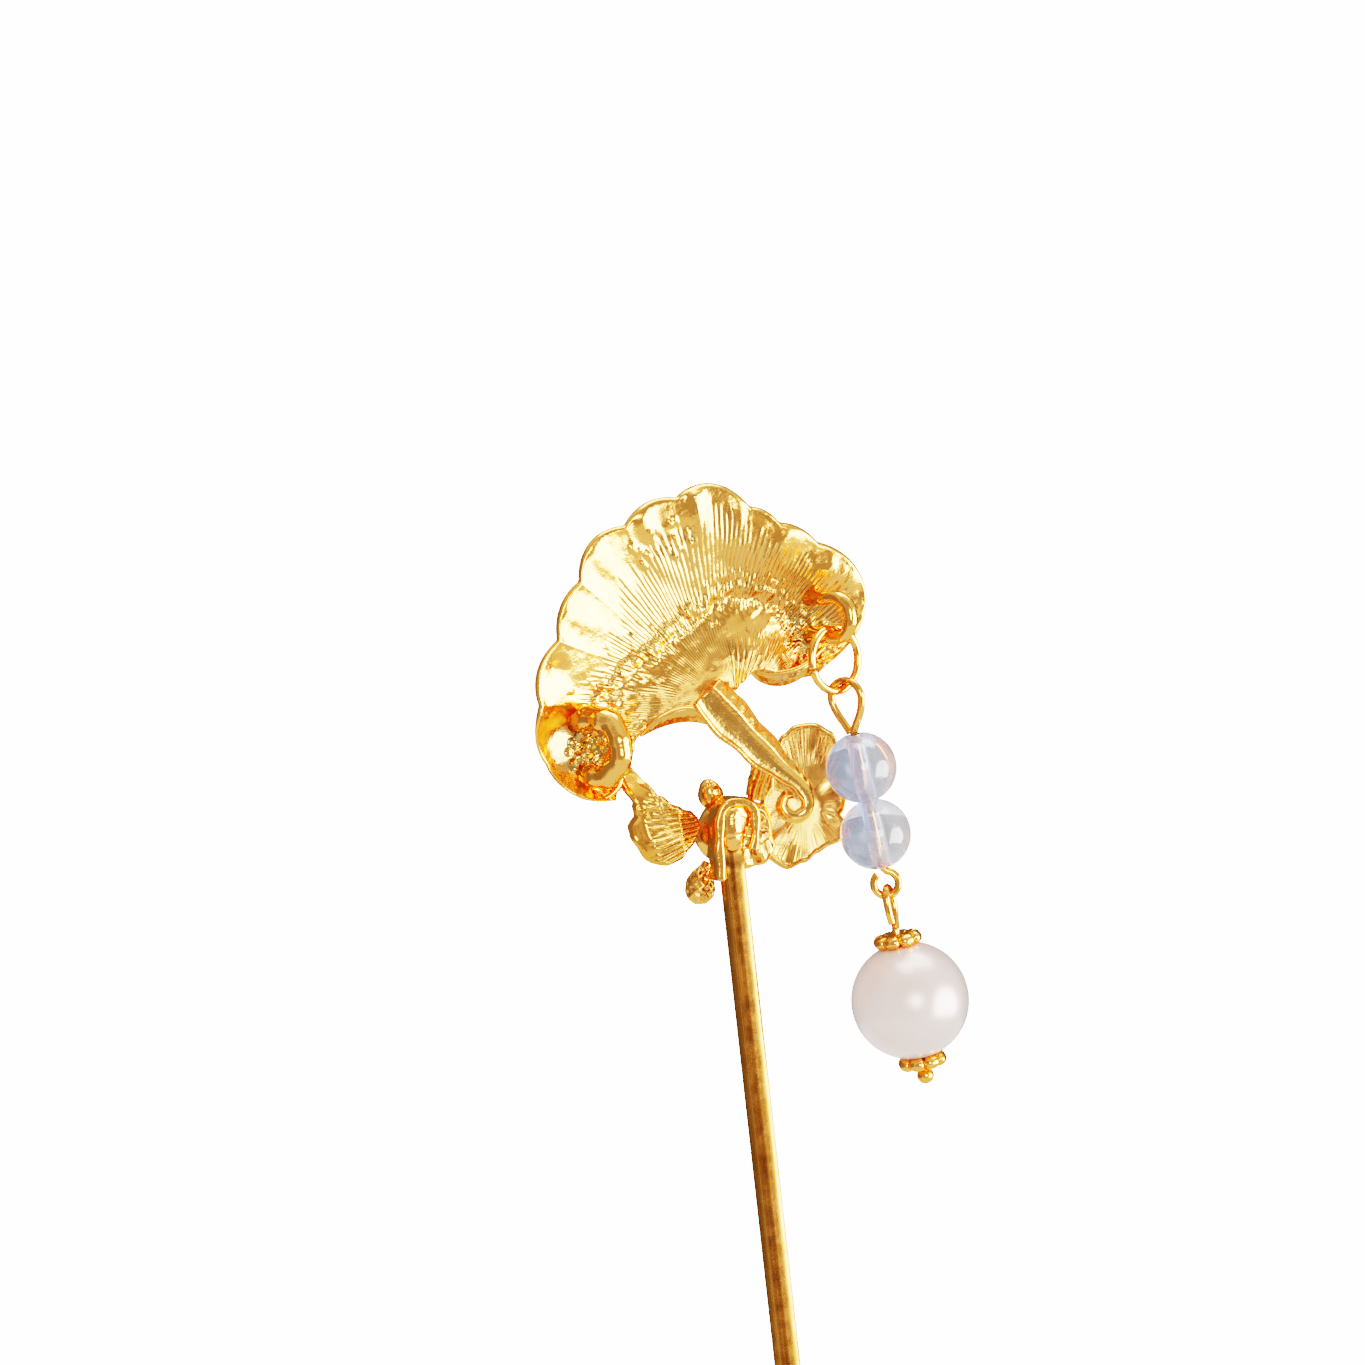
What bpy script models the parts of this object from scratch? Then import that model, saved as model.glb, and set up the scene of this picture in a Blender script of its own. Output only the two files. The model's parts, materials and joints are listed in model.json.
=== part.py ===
"""Decorative hair pin: a cast lotus-leaf head on a square shank, with a beaded drop.

Metres, +Z up.  The shank stands along Z with its tip at -Z and the head at +Z; the
origin is on the shank's axis at the mouth of the socket.  -Y is the back of the head,
the open side of the socket, where the two cast lugs stand up from the leaf.
"""
import math

import bmesh
import bpy
from mathutils import Vector

MM = 0.001

# Overall sizes, millimetres.
SHANK_LENGTH = 122.0
SHANK_WIDTH = 2.0
HEAD_SPAN = 30.2
PEARL_DIAMETER = 10.0
OPAL_DIAMETER = 6.0
RING_DIAMETER = 6.0
CAP_DIAMETER = 4.0
RING_WIRE = 0.65
PIN_WIRE = 0.6

# Everything cast in one piece with the leaf grows with the head.
HEAD = HEAD_SPAN / 30.2

# Fits, millimetres.
SOLDER_GAP = 0.06
HOOK_GAP = 0.05
BORE_CLEARANCE = 0.15

# Shank and socket.
SHANK_CORNER = 0.16 * SHANK_WIDTH
SHANK_TAPER = 9.0
TONGUE_TOP = 2.45 * SHANK_WIDTH
TONGUE_FOOT = 1.2 * SHANK_WIDTH
SOCKET_BACK = 0.75 * SHANK_WIDTH
SOCKET_FRONT = -0.6 * SHANK_WIDTH
# A thicker shank has a larger socket, which moves its neighbours back and aside.
BEHIND = SOCKET_BACK - 1.5
BESIDE = 0.8 * (SHANK_WIDTH - 2.0)
SOCKET_OUTLINE = (
    (-0.80, 0.00), (-0.62, 2.60), (-0.46, 3.10), (-0.14, 3.40), (0.30, 3.50),
    (0.80, 3.46), (1.12, 3.30), (1.30, 2.95), (1.28, 2.40), (1.10, 1.15),
)
SOCKET_POCKET = (
    (-0.53, -0.80), (-0.53, 1.26), (-0.42, 2.35), (-0.24, 2.80), (0.15, 3.05),
    (0.62, 3.02), (0.90, 2.80), (0.96, 2.30), (0.80, 1.26), (0.53, 1.10), (0.53, -0.80),
)

# Lotus leaf, polar about its heart: (angle, notch radius, bulge of the scallop that follows).
HEART = (1.84, 14.60)
SCALLOPS = (
    (10.5, 7.9, 0.0), (14.0, 9.1, 0.25), (21.0, 12.2, 0.35), (33.0, 14.9, 0.55),
    (55.0, 15.0, 0.35), (69.5, 15.5, 0.30), (79.5, 16.7, 1.30), (100.4, 18.2, 0.70),
    (116.6, 18.0, 1.15), (135.9, 17.3, 0.60), (153.4, 16.6, 0.75), (172.4, 17.1, 0.45),
    (190.0, 16.8, 0.40), (207.0, 13.6, 0.0),
)
INNER_EDGE = (
    (10.5, 6.5), (14.0, 5.4), (21.0, 4.8), (29.5, 4.3), (40.0, 3.8), (51.0, 3.2),
    (62.0, 1.9), (75.0, 1.2), (150.0, 1.2), (163.0, 2.4), (172.0, 4.2), (180.0, 6.2),
    (186.0, 7.6), (195.0, 9.0), (203.0, 9.7), (207.0, 10.6),
)
VALLEY = ((10.5, 7.2), (25.0, 7.4), (50.0, 7.2), (100.0, 7.4), (150.0, 8.3), (178.0, 11.3), (207.0, 12.4))
RIM_DEPTH = ((10.5, 1.4), (25.0, 1.2), (45.0, 0.6), (75.0, -0.3), (150.0, -0.7), (207.0, 0.2))
NECK_DEPTH = 0.38
NECK_RADIUS = 2.8
VALLEY_DEPTH = 2.7
LEAF_THICKNESS = 0.95
RIM_SHARE = 0.6
LEAF_STEPS = 4
LEAF_ROWS = (0.0, 0.12, 0.25, 0.38, 0.52, 0.68, 0.86, 1.0)
RIGHT_HOLLOW = (9.9, 20.3, 2.6, 0.7)
LEFT_HOLLOW = (-10.4, 12.6, 2.5, 1.5)

# Lugs: centre (x, y, z), radius of the bend, wire, and the direction the bend faces.
LUG_FACING = (0.62, -0.79)
LUG_WIRE = 1.0
LUG_BEND = 1.72
LUG_RIGHT = (10.27, -2.6, 21.05)
LUG_LEFT = (-10.3, -0.4, 13.0)
LUG_LEFT_BEND = 2.5

# Stalk: centre line (x, z) and half width; then the limb behind it.
STALK = (
    (-0.3, 16.1, 1.15), (1.0, 14.0, 1.55), (2.9, 11.4, 1.35), (4.9, 9.0, 0.95), (6.25, 7.35, 0.66),
    (6.8, 5.9, 0.50), (6.2, 4.75, 0.45), (5.1, 4.6, 0.42), (4.45, 5.4, 0.40), (4.75, 6.3, 0.34),
)
STALK_DEPTH = -0.62
STALK_HALF_THICKNESS = 0.44
LIMB = ((4.1, 0.62, 10.1, 0.70), (3.9, 1.15, 8.9, 0.85), (3.7, 2.0, 7.6, 0.85), (3.5, 2.55, 6.42, 0.8))

# Plates: centre (x, z) and a star-shaped outline of (angle, radius).
HUB_CENTRE = (1.0, 3.6)
HUB_OUTLINE = (
    (0, 3.1), (30, 3.2), (60, 3.1), (90, 3.0), (120, 3.1), (150, 3.0), (180, 3.2),
    (205, 3.0), (235, 2.8), (270, 3.1), (300, 3.2), (330, 3.0),
)
HUB_DEPTH = 2.5
HUB_THICKNESS = 1.8
SMALL_LEAF_CENTRE = (-4.9, 4.9)
SMALL_LEAF_OUTLINE = (
    (-5, 3.10), (8, 2.95), (22, 2.7), (45, 2.15), (75, 2.15), (100, 3.0), (110, 4.5),
    (114, 5.58), (125, 5.48), (131, 4.7), (137, 3.9), (152, 3.25), (168, 3.4), (180, 3.3),
    (205, 3.05), (228, 3.2), (256, 3.05), (282, 2.75), (305, 2.45), (328, 2.6), (345, 2.85),
)
SMALL_LEAF_THICKNESS = 0.75
BLOSSOM_CENTRE = (8.4, 4.95)
BLOSSOM_OUTLINE = (
    (4, 3.7), (-14, 3.5), (-24, 3.3), (-36, 4.3), (-52, 4.5), (-69, 4.2), (-84, 4.4),
    (-100, 5.1), (-116, 5.9), (-130, 5.8), (-142, 5.2), (-154, 4.7), (-172, 4.5),
    (170, 4.2), (150, 3.9), (128, 4.0), (112, 4.9), (103, 5.8), (92, 6.7), (78, 7.0),
    (64, 6.6), (50, 5.5), (38, 4.9), (20, 4.7),
)
BLOSSOM_ROOT_DEPTH = 3.58
BLOSSOM_STEP = 0.8
BLOSSOM_THICKNESS = 0.75
BLOSSOM_CURL = 0.65

# Pendant hang, degrees, and the planes its rings lie in.
RING_PLANE = (0.903, 0.429)
LOOP_PLANE = (0.62, -0.785)
EYE_PLANE = (0.961, -0.276)
RING_LEAN = 3.9
LINK_SLIDE = 19.3
LINK_LEAN = 5.9
EYE_SLIDE = 0.5
PIN_TWIST = 20.0
RING_SPLIT = 165.0
RING_GAP = 4.0
# Loops of the two pins: (sideways, below the loop's top).
LINK_LOOP = ((-0.66, 3.95), (-1.25, 2.60), (-1.50, 1.45), (-1.02, 0.36), (0.0, 0.0),
             (1.02, 0.36), (1.50, 1.45), (1.12, 2.75), (0.32, 3.95), (0.0, 4.50))
LINK_STEM = 3.92
EYE_RADIUS = 1.05
DROP_LOOP = ((-0.60, 3.00), (-0.84, 1.85), (-0.74, 0.64), (0.0, 0.0), (0.74, 0.64),
             (0.84, 1.85), (0.34, 3.10), (0.0, 3.70))
DROP_STEM = 3.25
CAP_LOBES = 8
CAP_HALF_HEIGHT = 0.48
PIN_BALL = 0.5

# Resolution.
TUBE_SIDES = 8
RING_STEPS = 30
LATHE_SEGMENTS = 24

GOLD = (0.86, 0.60, 0.20)


def clear_scene():
    for item in list(bpy.data.objects):
        bpy.data.objects.remove(item, do_unlink=True)


def material(name, colour, metallic, roughness, transmission=0.0):
    made = bpy.data.materials.new(name)
    made.use_nodes = True
    shader = made.node_tree.nodes["Principled BSDF"]
    shader.inputs["Base Color"].default_value = (*colour, 1.0)
    shader.inputs["Metallic"].default_value = metallic
    shader.inputs["Roughness"].default_value = roughness
    shader.inputs["Transmission Weight"].default_value = transmission
    return made


def gold(name, roughness=0.25):
    return material(name, GOLD, 1.0, roughness)


def add_node(name, points, faces, paint, origin=(0.0, 0.0, 0.0), smooth=True):
    """Make one closed body from millimetre points; its origin is set at `origin`."""
    pivot = Vector(origin)
    mesh = bpy.data.meshes.new(name)
    mesh.from_pydata([(Vector(p) - pivot) * MM for p in points], [], faces)
    work = bmesh.new()
    work.from_mesh(mesh)
    bmesh.ops.recalc_face_normals(work, faces=work.faces)
    work.to_mesh(mesh)
    work.free()
    for polygon in mesh.polygons:
        polygon.use_smooth = smooth
    mesh.materials.append(paint)
    item = bpy.data.objects.new(name, mesh)
    item.location = pivot * MM
    bpy.context.scene.collection.objects.link(item)
    return item


def lerp_table(table, angle):
    """Smoothly interpolate (angle, value) rows sorted by angle."""
    if angle <= table[0][0]:
        return table[0][1]
    for low, high in zip(table, table[1:]):
        if angle <= high[0]:
            share = (angle - low[0]) / (high[0] - low[0])
            share = share * share * (3.0 - 2.0 * share)
            return low[1] + (high[1] - low[1]) * share
    return table[-1][1]


def tube_faces(rings, sides):
    """Side quads and end fans for `rings` loops of `sides` points plus two end centres."""
    faces = []
    for row in range(rings - 1):
        for side in range(sides):
            after = (side + 1) % sides
            base = row * sides
            faces.append((base + side, base + after, base + sides + after, base + sides + side))
    first = rings * sides
    last = first + 1
    top = (rings - 1) * sides
    for side in range(sides):
        after = (side + 1) % sides
        faces.append((first, after, side))
        faces.append((last, top + side, top + after))
    return faces


def loft(sections):
    """Closed body through loops of equal length; the ends are fanned."""
    sides = len(sections[0])
    points = [p for loop in sections for p in loop]
    for loop in (sections[0], sections[-1]):
        points.append(sum((Vector(p) for p in loop), Vector()) / sides)
    return points, tube_faces(len(sections), sides)


def sweep(path, radii, start_side, sides=TUBE_SIDES):
    """Round or oval bar along `path`; `radii` holds one number or a pair per path point."""
    loops = []
    side = Vector(start_side)
    for index, point in enumerate(path):
        before = path[max(index - 1, 0)]
        after = path[min(index + 1, len(path) - 1)]
        along = (Vector(after) - Vector(before)).normalized()
        side = (side - along * side.dot(along)).normalized()
        across = along.cross(side)
        size = radii[index] if isinstance(radii[index], tuple) else (radii[index], radii[index])
        loop = []
        for step in range(sides):
            turn = 2.0 * math.pi * step / sides
            loop.append(Vector(point) + side * size[0] * math.cos(turn) + across * size[1] * math.sin(turn))
        loops.append(loop)
    return loft(loops)


def smooth_path(knots, steps):
    """Catmull-Rom curve through the knots, which may carry extra numbers."""
    rows = [Vector(k) if len(k) <= 4 else k for k in knots]
    rows = [rows[0] * 2.0 - rows[1]] + rows + [rows[-1] * 2.0 - rows[-2]]
    result = []
    for a, b, c, d in zip(rows, rows[1:], rows[2:], rows[3:]):
        for step in range(steps):
            t = step / steps
            result.append(0.5 * (b * 2.0 + (c - a) * t + (a * 2.0 - b * 5.0 + c * 4.0 - d) * t * t
                                 + (b * 3.0 - a - c * 3.0 + d) * t * t * t))
    result.append(rows[-2])
    return result


def lathe(profile, place, segments=LATHE_SEGMENTS, lobes=0, depth=0.0):
    """Turn a closed (radius, height) profile; `lobes` swell its outer part."""
    inner = min(r for r, _ in profile)
    outer = max(r for r, _ in profile)
    points = []
    for step in range(segments):
        turn = 2.0 * math.pi * step / segments
        swell = 1.0 - depth * (1.0 - abs(math.cos(0.5 * lobes * turn)) ** 0.7) if lobes else 1.0
        for radius, height in profile:
            share = (radius - inner) / (outer - inner)
            reach = inner + (radius - inner) * (1.0 - share * (1.0 - swell))
            tall = height * (1.0 - share * (1.0 - swell))
            points.append(place(reach * math.cos(turn), reach * math.sin(turn), tall))
    count = len(profile)
    faces = []
    for step in range(segments):
        base = step * count
        following = ((step + 1) % segments) * count
        for index in range(count):
            nxt = (index + 1) % count
            faces.append((base + index, base + nxt, following + nxt, following + index))
    return points, faces


def plate(centre, outline, surface, thickness, rings=5, steps=2):
    """Star-shaped sheet in XZ whose mid surface is surface(x, z, share)."""
    table = sorted(((a % 360.0, r) for a, r in outline))
    table = [(table[-1][0] - 360.0, table[-1][1])] + table + [(table[0][0] + 360.0, table[0][1])]
    spokes = []
    for low, high in zip(table[1:-1], table[2:]):
        for step in range(steps):
            spokes.append(low[0] + (high[0] - low[0]) * step / steps)
    count = len(spokes)
    layers = []
    for sign in (-1.0, 1.0):
        depth = surface(centre[0], centre[1], 0.0)
        rows = [(centre[0], depth + sign * thickness(0.0) / 2.0, centre[1])]
        for ring in range(1, rings + 1):
            share = ring / rings
            for angle in spokes:
                reach = lerp_table(table, angle) * share
                x = centre[0] + reach * math.cos(math.radians(angle))
                z = centre[1] + reach * math.sin(math.radians(angle))
                rows.append((x, surface(x, z, share) + sign * thickness(share) / 2.0, z))
        layers.append([(p[0] * HEAD, p[1], p[2] * HEAD) for p in rows])
    points = layers[0] + layers[1]
    shift = len(layers[0])
    faces = []
    for base in (0, shift):
        for spoke in range(count):
            after = (spoke + 1) % count
            faces.append((base, base + 1 + spoke, base + 1 + after))
            for ring in range(rings - 1):
                low = base + 1 + ring * count
                faces.append((low + spoke, low + count + spoke, low + count + after, low + after))
    rim = 1 + (rings - 1) * count
    for spoke in range(count):
        after = (spoke + 1) % count
        faces.append((rim + spoke, shift + rim + spoke, shift + rim + after, rim + after))
    return points, faces


# ---- shank and socket -------------------------------------------------------------------------

def square_section(half_x, low_y, high_y, corner, z, shift=0.0):
    """Chamfered rectangle, eight points."""
    left = shift - half_x
    right = shift + half_x
    return [
        (left + corner, low_y, z), (right - corner, low_y, z), (right, low_y + corner, z),
        (right, high_y - corner, z), (right - corner, high_y, z), (left + corner, high_y, z),
        (left, high_y - corner, z), (left, low_y + corner, z),
    ]


def build_shank():
    half = SHANK_WIDTH / 2.0
    sections = []
    for share, size in ((0.0, 0.30), (0.05, 0.46), (0.2, 0.60), (0.6, 0.84), (1.0, 1.0)):
        z = -SHANK_LENGTH + SHANK_TAPER * share
        sections.append(square_section(half * size, -half * size, half * size, SHANK_CORNER * size, z))
    sections.append(square_section(half, -half, half, SHANK_CORNER, TONGUE_FOOT))
    narrow = 0.5 * half
    small = 0.5 * SHANK_CORNER
    sections.append(square_section(narrow, 0.1 * half, half, small, TONGUE_FOOT + 0.05, 0.1 * half))
    sections.append(square_section(narrow, 0.1 * half, half, small, TONGUE_TOP, 0.1 * half))
    points, faces = loft(sections)
    add_node("shank", points, faces, gold("shank_gold", 0.3), smooth=False)


def prism(outline, low_y, high_y):
    """Extrude an XZ outline along Y."""
    sections = []
    for y in (low_y, high_y):
        sections.append([(x, y, z) for x, z in outline])
    return loft(sections)


def build_socket():
    width = SHANK_WIDTH
    outline = [(x * width, z * width) for x, z in SOCKET_OUTLINE]
    pocket = [(x * width, z * width) for x, z in SOCKET_POCKET]
    points, faces = prism(outline, SOCKET_FRONT, SOCKET_BACK)
    socket = add_node("shank_socket", points, faces, gold("socket_gold"), smooth=False)
    points, faces = prism(pocket, SOCKET_FRONT - 1.0, width / 2.0 + SOLDER_GAP)
    cutter = add_node("socket_cutter", points, faces, gold("cutter_gold"), smooth=False)
    cutter.hide_render = True
    cutter.display_type = "WIRE"
    cut = socket.modifiers.new("pocket", "BOOLEAN")
    cut.operation = "DIFFERENCE"
    cut.solver = "EXACT"
    cut.object = cutter


def build_braze_bead():
    """Solder that fills the pocket over the shank's tongue."""
    unit = SHANK_WIDTH / 2.0
    back = 0.1 * unit - SOLDER_GAP
    loops = []
    for share in (0.0, 0.35, 0.7, 0.9, 1.0):
        swell = math.sqrt(1.0 - (0.92 * share) ** 2)
        y = back - 1.2 * unit * share
        loop = []
        for step in range(12):
            turn = 2.0 * math.pi * step / 12
            lump = 1.0 + 0.04 * math.sin(3.0 * turn + 4.0 * share)
            x = 0.50 + 1.22 * lump * swell * math.cos(turn)
            z = 4.20 + 1.58 * lump * swell * math.sin(turn)
            loop.append((x * unit, y, z * unit))
        loops.append(loop)
    points, faces = loft(loops)
    add_node("braze_bead", points, faces, gold("braze_gold", 0.2))


# ---- lotus leaf -------------------------------------------------------------------------------

def leaf_outer(angle):
    for low, high in zip(SCALLOPS, SCALLOPS[1:]):
        if angle <= high[0] + 1e-9:
            share = (angle - low[0]) / (high[0] - low[0])
            return low[1] + (high[1] - low[1]) * share + low[2] * math.sin(math.pi * share) ** 0.8
    return SCALLOPS[-1][1]


def hollow(x, z, spec):
    distance = math.hypot(x - spec[0], z - spec[1]) / spec[2]
    return spec[3] * math.exp(-distance * distance)


def leaf_surface(angle, radius):
    """Depth of the leaf's mid surface at a polar place about the heart."""
    inner = lerp_table(INNER_EDGE, angle)
    outer = leaf_outer(angle)
    bottom = min(max(lerp_table(VALLEY, angle), inner + 0.6), outer - 0.8)
    rim = lerp_table(RIM_DEPTH, angle)
    if radius < bottom:
        share = (radius - NECK_RADIUS) / (bottom - NECK_RADIUS)
        share = 0.5 - 0.5 * math.cos(math.pi * min(max(share, 0.0), 1.0))
        depth = NECK_DEPTH + (VALLEY_DEPTH - NECK_DEPTH) * share
    else:
        share = math.sin(0.5 * math.pi * (radius - bottom) / (outer - bottom))
        depth = VALLEY_DEPTH + (rim - VALLEY_DEPTH) * share
    x = HEART[0] + radius * math.cos(math.radians(angle))
    z = HEART[1] + radius * math.sin(math.radians(angle))
    return depth + hollow(x, z, RIGHT_HOLLOW) + hollow(x, z, LEFT_HOLLOW)


def leaf_depth_at(x, z):
    """Mid surface depth below a place given in head millimetres."""
    angle = math.degrees(math.atan2(z - HEART[1], x - HEART[0]))
    if angle < -90.0:
        angle += 360.0
    return leaf_surface(angle, math.hypot(x - HEART[0], z - HEART[1]))


def build_leaf():
    angles = []
    for low, high in zip(SCALLOPS, SCALLOPS[1:]):
        for step in range(LEAF_STEPS):
            angles.append(low[0] + (high[0] - low[0]) * step / LEAF_STEPS)
    angles.append(SCALLOPS[-1][0])
    layers = []
    for sign in (-1.0, 1.0):
        layer = []
        for angle in angles:
            inner = lerp_table(INNER_EDGE, angle)
            outer = leaf_outer(angle)
            for row in LEAF_ROWS:
                radius = inner + (outer - inner) * row
                x = HEART[0] + radius * math.cos(math.radians(angle))
                z = HEART[1] + radius * math.sin(math.radians(angle))
                thick = LEAF_THICKNESS * (RIM_SHARE if row in (0.0, 1.0) else 1.0)
                y = leaf_surface(angle, radius) + sign * thick / 2.0
                layer.append((x * HEAD, y, z * HEAD))
        layers.append(layer)
    points = layers[0] + layers[1]
    shift = len(layers[0])
    rows = len(LEAF_ROWS)
    columns = len(angles)
    faces = []
    for base in (0, shift):
        for column in range(columns - 1):
            for row in range(rows - 1):
                corner = base + column * rows + row
                faces.append((corner, corner + rows, corner + rows + 1, corner + 1))
    border = [column * rows for column in range(columns)]
    border += [(columns - 1) * rows + row for row in range(1, rows)]
    border += [column * rows + rows - 1 for column in range(columns - 2, -1, -1)]
    border += [row for row in range(rows - 2, 0, -1)]
    for index, corner in enumerate(border):
        after = border[(index + 1) % len(border)]
        faces.append((corner, after, shift + after, shift + corner))
    add_node("lotus_leaf", points, faces, gold("leaf_gold", 0.22))


def build_lug(name, centre, bend, wire):
    """Staple standing on the leaf: two legs and a round bend facing LUG_FACING."""
    facing = Vector((LUG_FACING[0], LUG_FACING[1], 0.0)).normalized()
    up = Vector((0.0, 0.0, 1.0))
    place = Vector((centre[0] * HEAD, centre[1], centre[2] * HEAD))
    arc = []
    for step in range(11):
        turn = math.radians(-110.0 + 22.0 * step)
        arc.append(place + facing * bend * math.cos(turn) + up * bend * math.sin(turn))
    legs = []
    for tip in (arc[0], arc[-1]):
        x = tip.x - 0.25
        reach = 0.7 * wire
        around = [(x + a * reach, tip.z + b * reach) for a, b in ((1, 0), (-1, 0), (0, 1), (0, -1), (0, 0))]
        ground = min(leaf_depth_at(a / HEAD, b / HEAD) for a, b in around)
        ground -= LEAF_THICKNESS / 2.0 + 3.0 * SOLDER_GAP
        legs.append([Vector((x, ground, tip.z)), Vector((x + 0.1, (ground + tip.y) / 2.0, tip.z))])
    path = legs[0] + arc + [legs[1][1], legs[1][0]]
    points, faces = sweep(path, [wire / 2.0] * len(path), up)
    add_node(name, points, faces, gold(name + "_gold", 0.2))


# ---- stalk, hub and small cast pieces -----------------------------------------------------------

def build_stalk():
    knots = smooth_path([(x, STALK_DEPTH, z, half) for x, z, half in STALK], 3)
    path = [(k[0] * HEAD, k[1], k[2] * HEAD) for k in knots]
    sizes = [(k[3] * HEAD, STALK_HALF_THICKNESS) for k in knots]
    points, faces = sweep(path, sizes, (0.6, 0.0, 0.8), 10)
    add_node("leaf_stalk", points, faces, gold("stalk_gold"))


def build_limb():
    knots = smooth_path(LIMB, 3)
    path = []
    for index, (x, y, z, _) in enumerate(knots):
        share = index / (len(knots) - 1)
        path.append((x * HEAD + 2.0 * BESIDE * share, y + BEHIND * share, z * HEAD))
    points, faces = sweep(path, [k[3] * HEAD for k in knots], (1.0, 0.0, 0.0), 10)
    add_node("stalk_limb", points, faces, gold("limb_gold", 0.3))


def build_hub():
    def surface(x, z, share):
        return HUB_DEPTH + BEHIND + 0.05 * math.sin(2.1 * x) * math.cos(1.7 * z)

    def thickness(share):
        return HUB_THICKNESS * (1.0 - 0.35 * share ** 3)

    points, faces = plate(HUB_CENTRE, HUB_OUTLINE, surface, thickness, 3, 2)
    add_node("stem_hub", points, faces, gold("hub_gold", 0.3))


def build_small_leaf():
    def surface(x, z, share):
        root = min(max((x + 4.0) / 2.2, 0.0), 1.0)
        twig = min(max((z - 7.0) / 3.0, 0.0), 1.0)
        return 0.55 + (1.06 + BEHIND) * root + 1.6 * twig + 0.25 * math.sin(1.3 * z)

    def thickness(share):
        return SMALL_LEAF_THICKNESS * (1.0 - 0.35 * share ** 4)

    points, faces = plate(SMALL_LEAF_CENTRE, SMALL_LEAF_OUTLINE, surface, thickness, 4, 2)
    add_node("small_leaf", points, faces, gold("small_leaf_gold", 0.22))


def build_blossom():
    def surface(x, z, share):
        away = min(max((x - 4.4) / 2.0, 0.0), 1.0)
        curl = BLOSSOM_CURL * away * share ** 2
        return BLOSSOM_ROOT_DEPTH + BEHIND + BLOSSOM_STEP * away - curl + 0.06 * math.sin(1.1 * z)

    def thickness(share):
        return BLOSSOM_THICKNESS * (1.0 - 0.4 * share ** 4)

    points, faces = plate(BLOSSOM_CENTRE, BLOSSOM_OUTLINE, surface, thickness, 4, 2)
    add_node("side_blossom", points, faces, gold("blossom_gold", 0.3))


def build_pod():
    spine = ((-1.3, 2.75, 1.45, 0.45), (-1.6, 2.8, 0.85, 0.62), (-1.95, 2.85, 0.1, 1.15),
             (-2.15, 2.9, -0.7, 1.32), (-2.25, 2.85, -1.5, 1.1), (-2.3, 2.8, -2.05, 0.45))
    knots = smooth_path(spine, 2)
    path = [(k[0] * HEAD - BESIDE, k[1] + BEHIND, k[2] * HEAD) for k in knots]
    points, faces = sweep(path, [k[3] * HEAD for k in knots], (1.0, 0.0, 0.0), 12)
    add_node("seed_pod", points, faces, gold("pod_gold", 0.35))


def build_bud():
    spine = ((-0.5, 2.5, 6.60, 0.55), (-0.6, 2.4, 7.0, 0.88), (-0.7, 2.25, 7.5, 0.80),
             (-0.75, 2.2, 8.15, 0.52), (-0.75, 2.2, 8.55, 0.18))
    knots = smooth_path(spine, 2)
    path = [(k[0] * HEAD, k[1] + 1.3 * BEHIND, k[2] * HEAD) for k in knots]
    points, faces = sweep(path, [k[3] * HEAD for k in knots], (1.0, 0.0, 0.0), 12)
    add_node("top_bud", points, faces, gold("bud_gold"))


# ---- pendant ----------------------------------------------------------------------------------

class Hang:
    """A hanging frame: pivot, swing axis, the way it points down, and its loop's plane."""

    def __init__(self, pivot, axis, down, sideways):
        self.pivot = Vector(pivot)
        self.axis = Vector(axis).normalized()
        self.down = Vector(down).normalized()
        self.sideways = across(sideways, self.down)
        self.normal = self.down.cross(self.sideways)

    def at(self, side, depth, drop):
        return self.pivot + self.sideways * side + self.normal * depth + self.down * drop


def across(way, down):
    """The part of a direction that is square to `down`, as a unit vector."""
    flat = Vector(way)
    return (flat - down * flat.dot(down)).normalized()


def turned(first, second, degrees):
    """Unit vector from `first` towards `second`, which is square to it."""
    return first * math.cos(math.radians(degrees)) + second * math.sin(math.radians(degrees))


def hang_frames():
    """Frames of the jump ring, the link and the drop, with the link's eye and its plane."""
    up = Vector((0.0, 0.0, 1.0))
    facing = Vector((*LUG_FACING, 0.0)).normalized()
    plane = Vector((*RING_PLANE, 0.0)).normalized()
    lug = Vector((LUG_RIGHT[0] * HEAD, LUG_RIGHT[1], LUG_RIGHT[2] * HEAD - LUG_BEND))
    ring = Hang(lug, facing, turned(-up, -plane, RING_LEAN), plane)
    radius = (RING_DIAMETER - RING_WIRE) / 2.0
    centre = ring.at(0.0, 0.0, radius - ring_rise())
    radial = turned(ring.down, ring.sideways, LINK_SLIDE)
    tangent = turned(ring.sideways, -ring.down, LINK_SLIDE)
    lean = turned(-up, Vector((*EYE_PLANE, 0.0)).normalized(), LINK_LEAN)
    link = Hang(centre + radial * radius, tangent, lean, (*LOOP_PLANE, 0.0))
    face = across((*EYE_PLANE, 0.0), link.down)
    eye = link.at(0.0, 0.0, eye_drop())
    radial = turned(link.down, -face, EYE_SLIDE)
    tangent = turned(face, link.down, EYE_SLIDE)
    plumb = across(-up, tangent)
    loop = turned(tangent.cross(plumb), tangent, PIN_TWIST)
    drop = Hang(eye + radial * EYE_RADIUS, tangent, plumb, loop)
    return ring, link, drop, eye, face


def ring_rise():
    """Height of the jump ring's upper wire centre above the lug's wire centre."""
    return LUG_WIRE / 2.0 + RING_WIRE / 2.0 + HOOK_GAP


def opal_half():
    """Half length of an opal bead between its flat-ground ends."""
    return math.sqrt((OPAL_DIAMETER / 2.0) ** 2 - 0.9 ** 2)


def opal_drops():
    first = LINK_STEM + HOOK_GAP + opal_half()
    return first, first + 2.0 * opal_half() + HOOK_GAP


def eye_drop():
    return opal_drops()[1] + opal_half() + HOOK_GAP + 0.03 + PIN_WIRE / 2.0 + EYE_RADIUS


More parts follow.
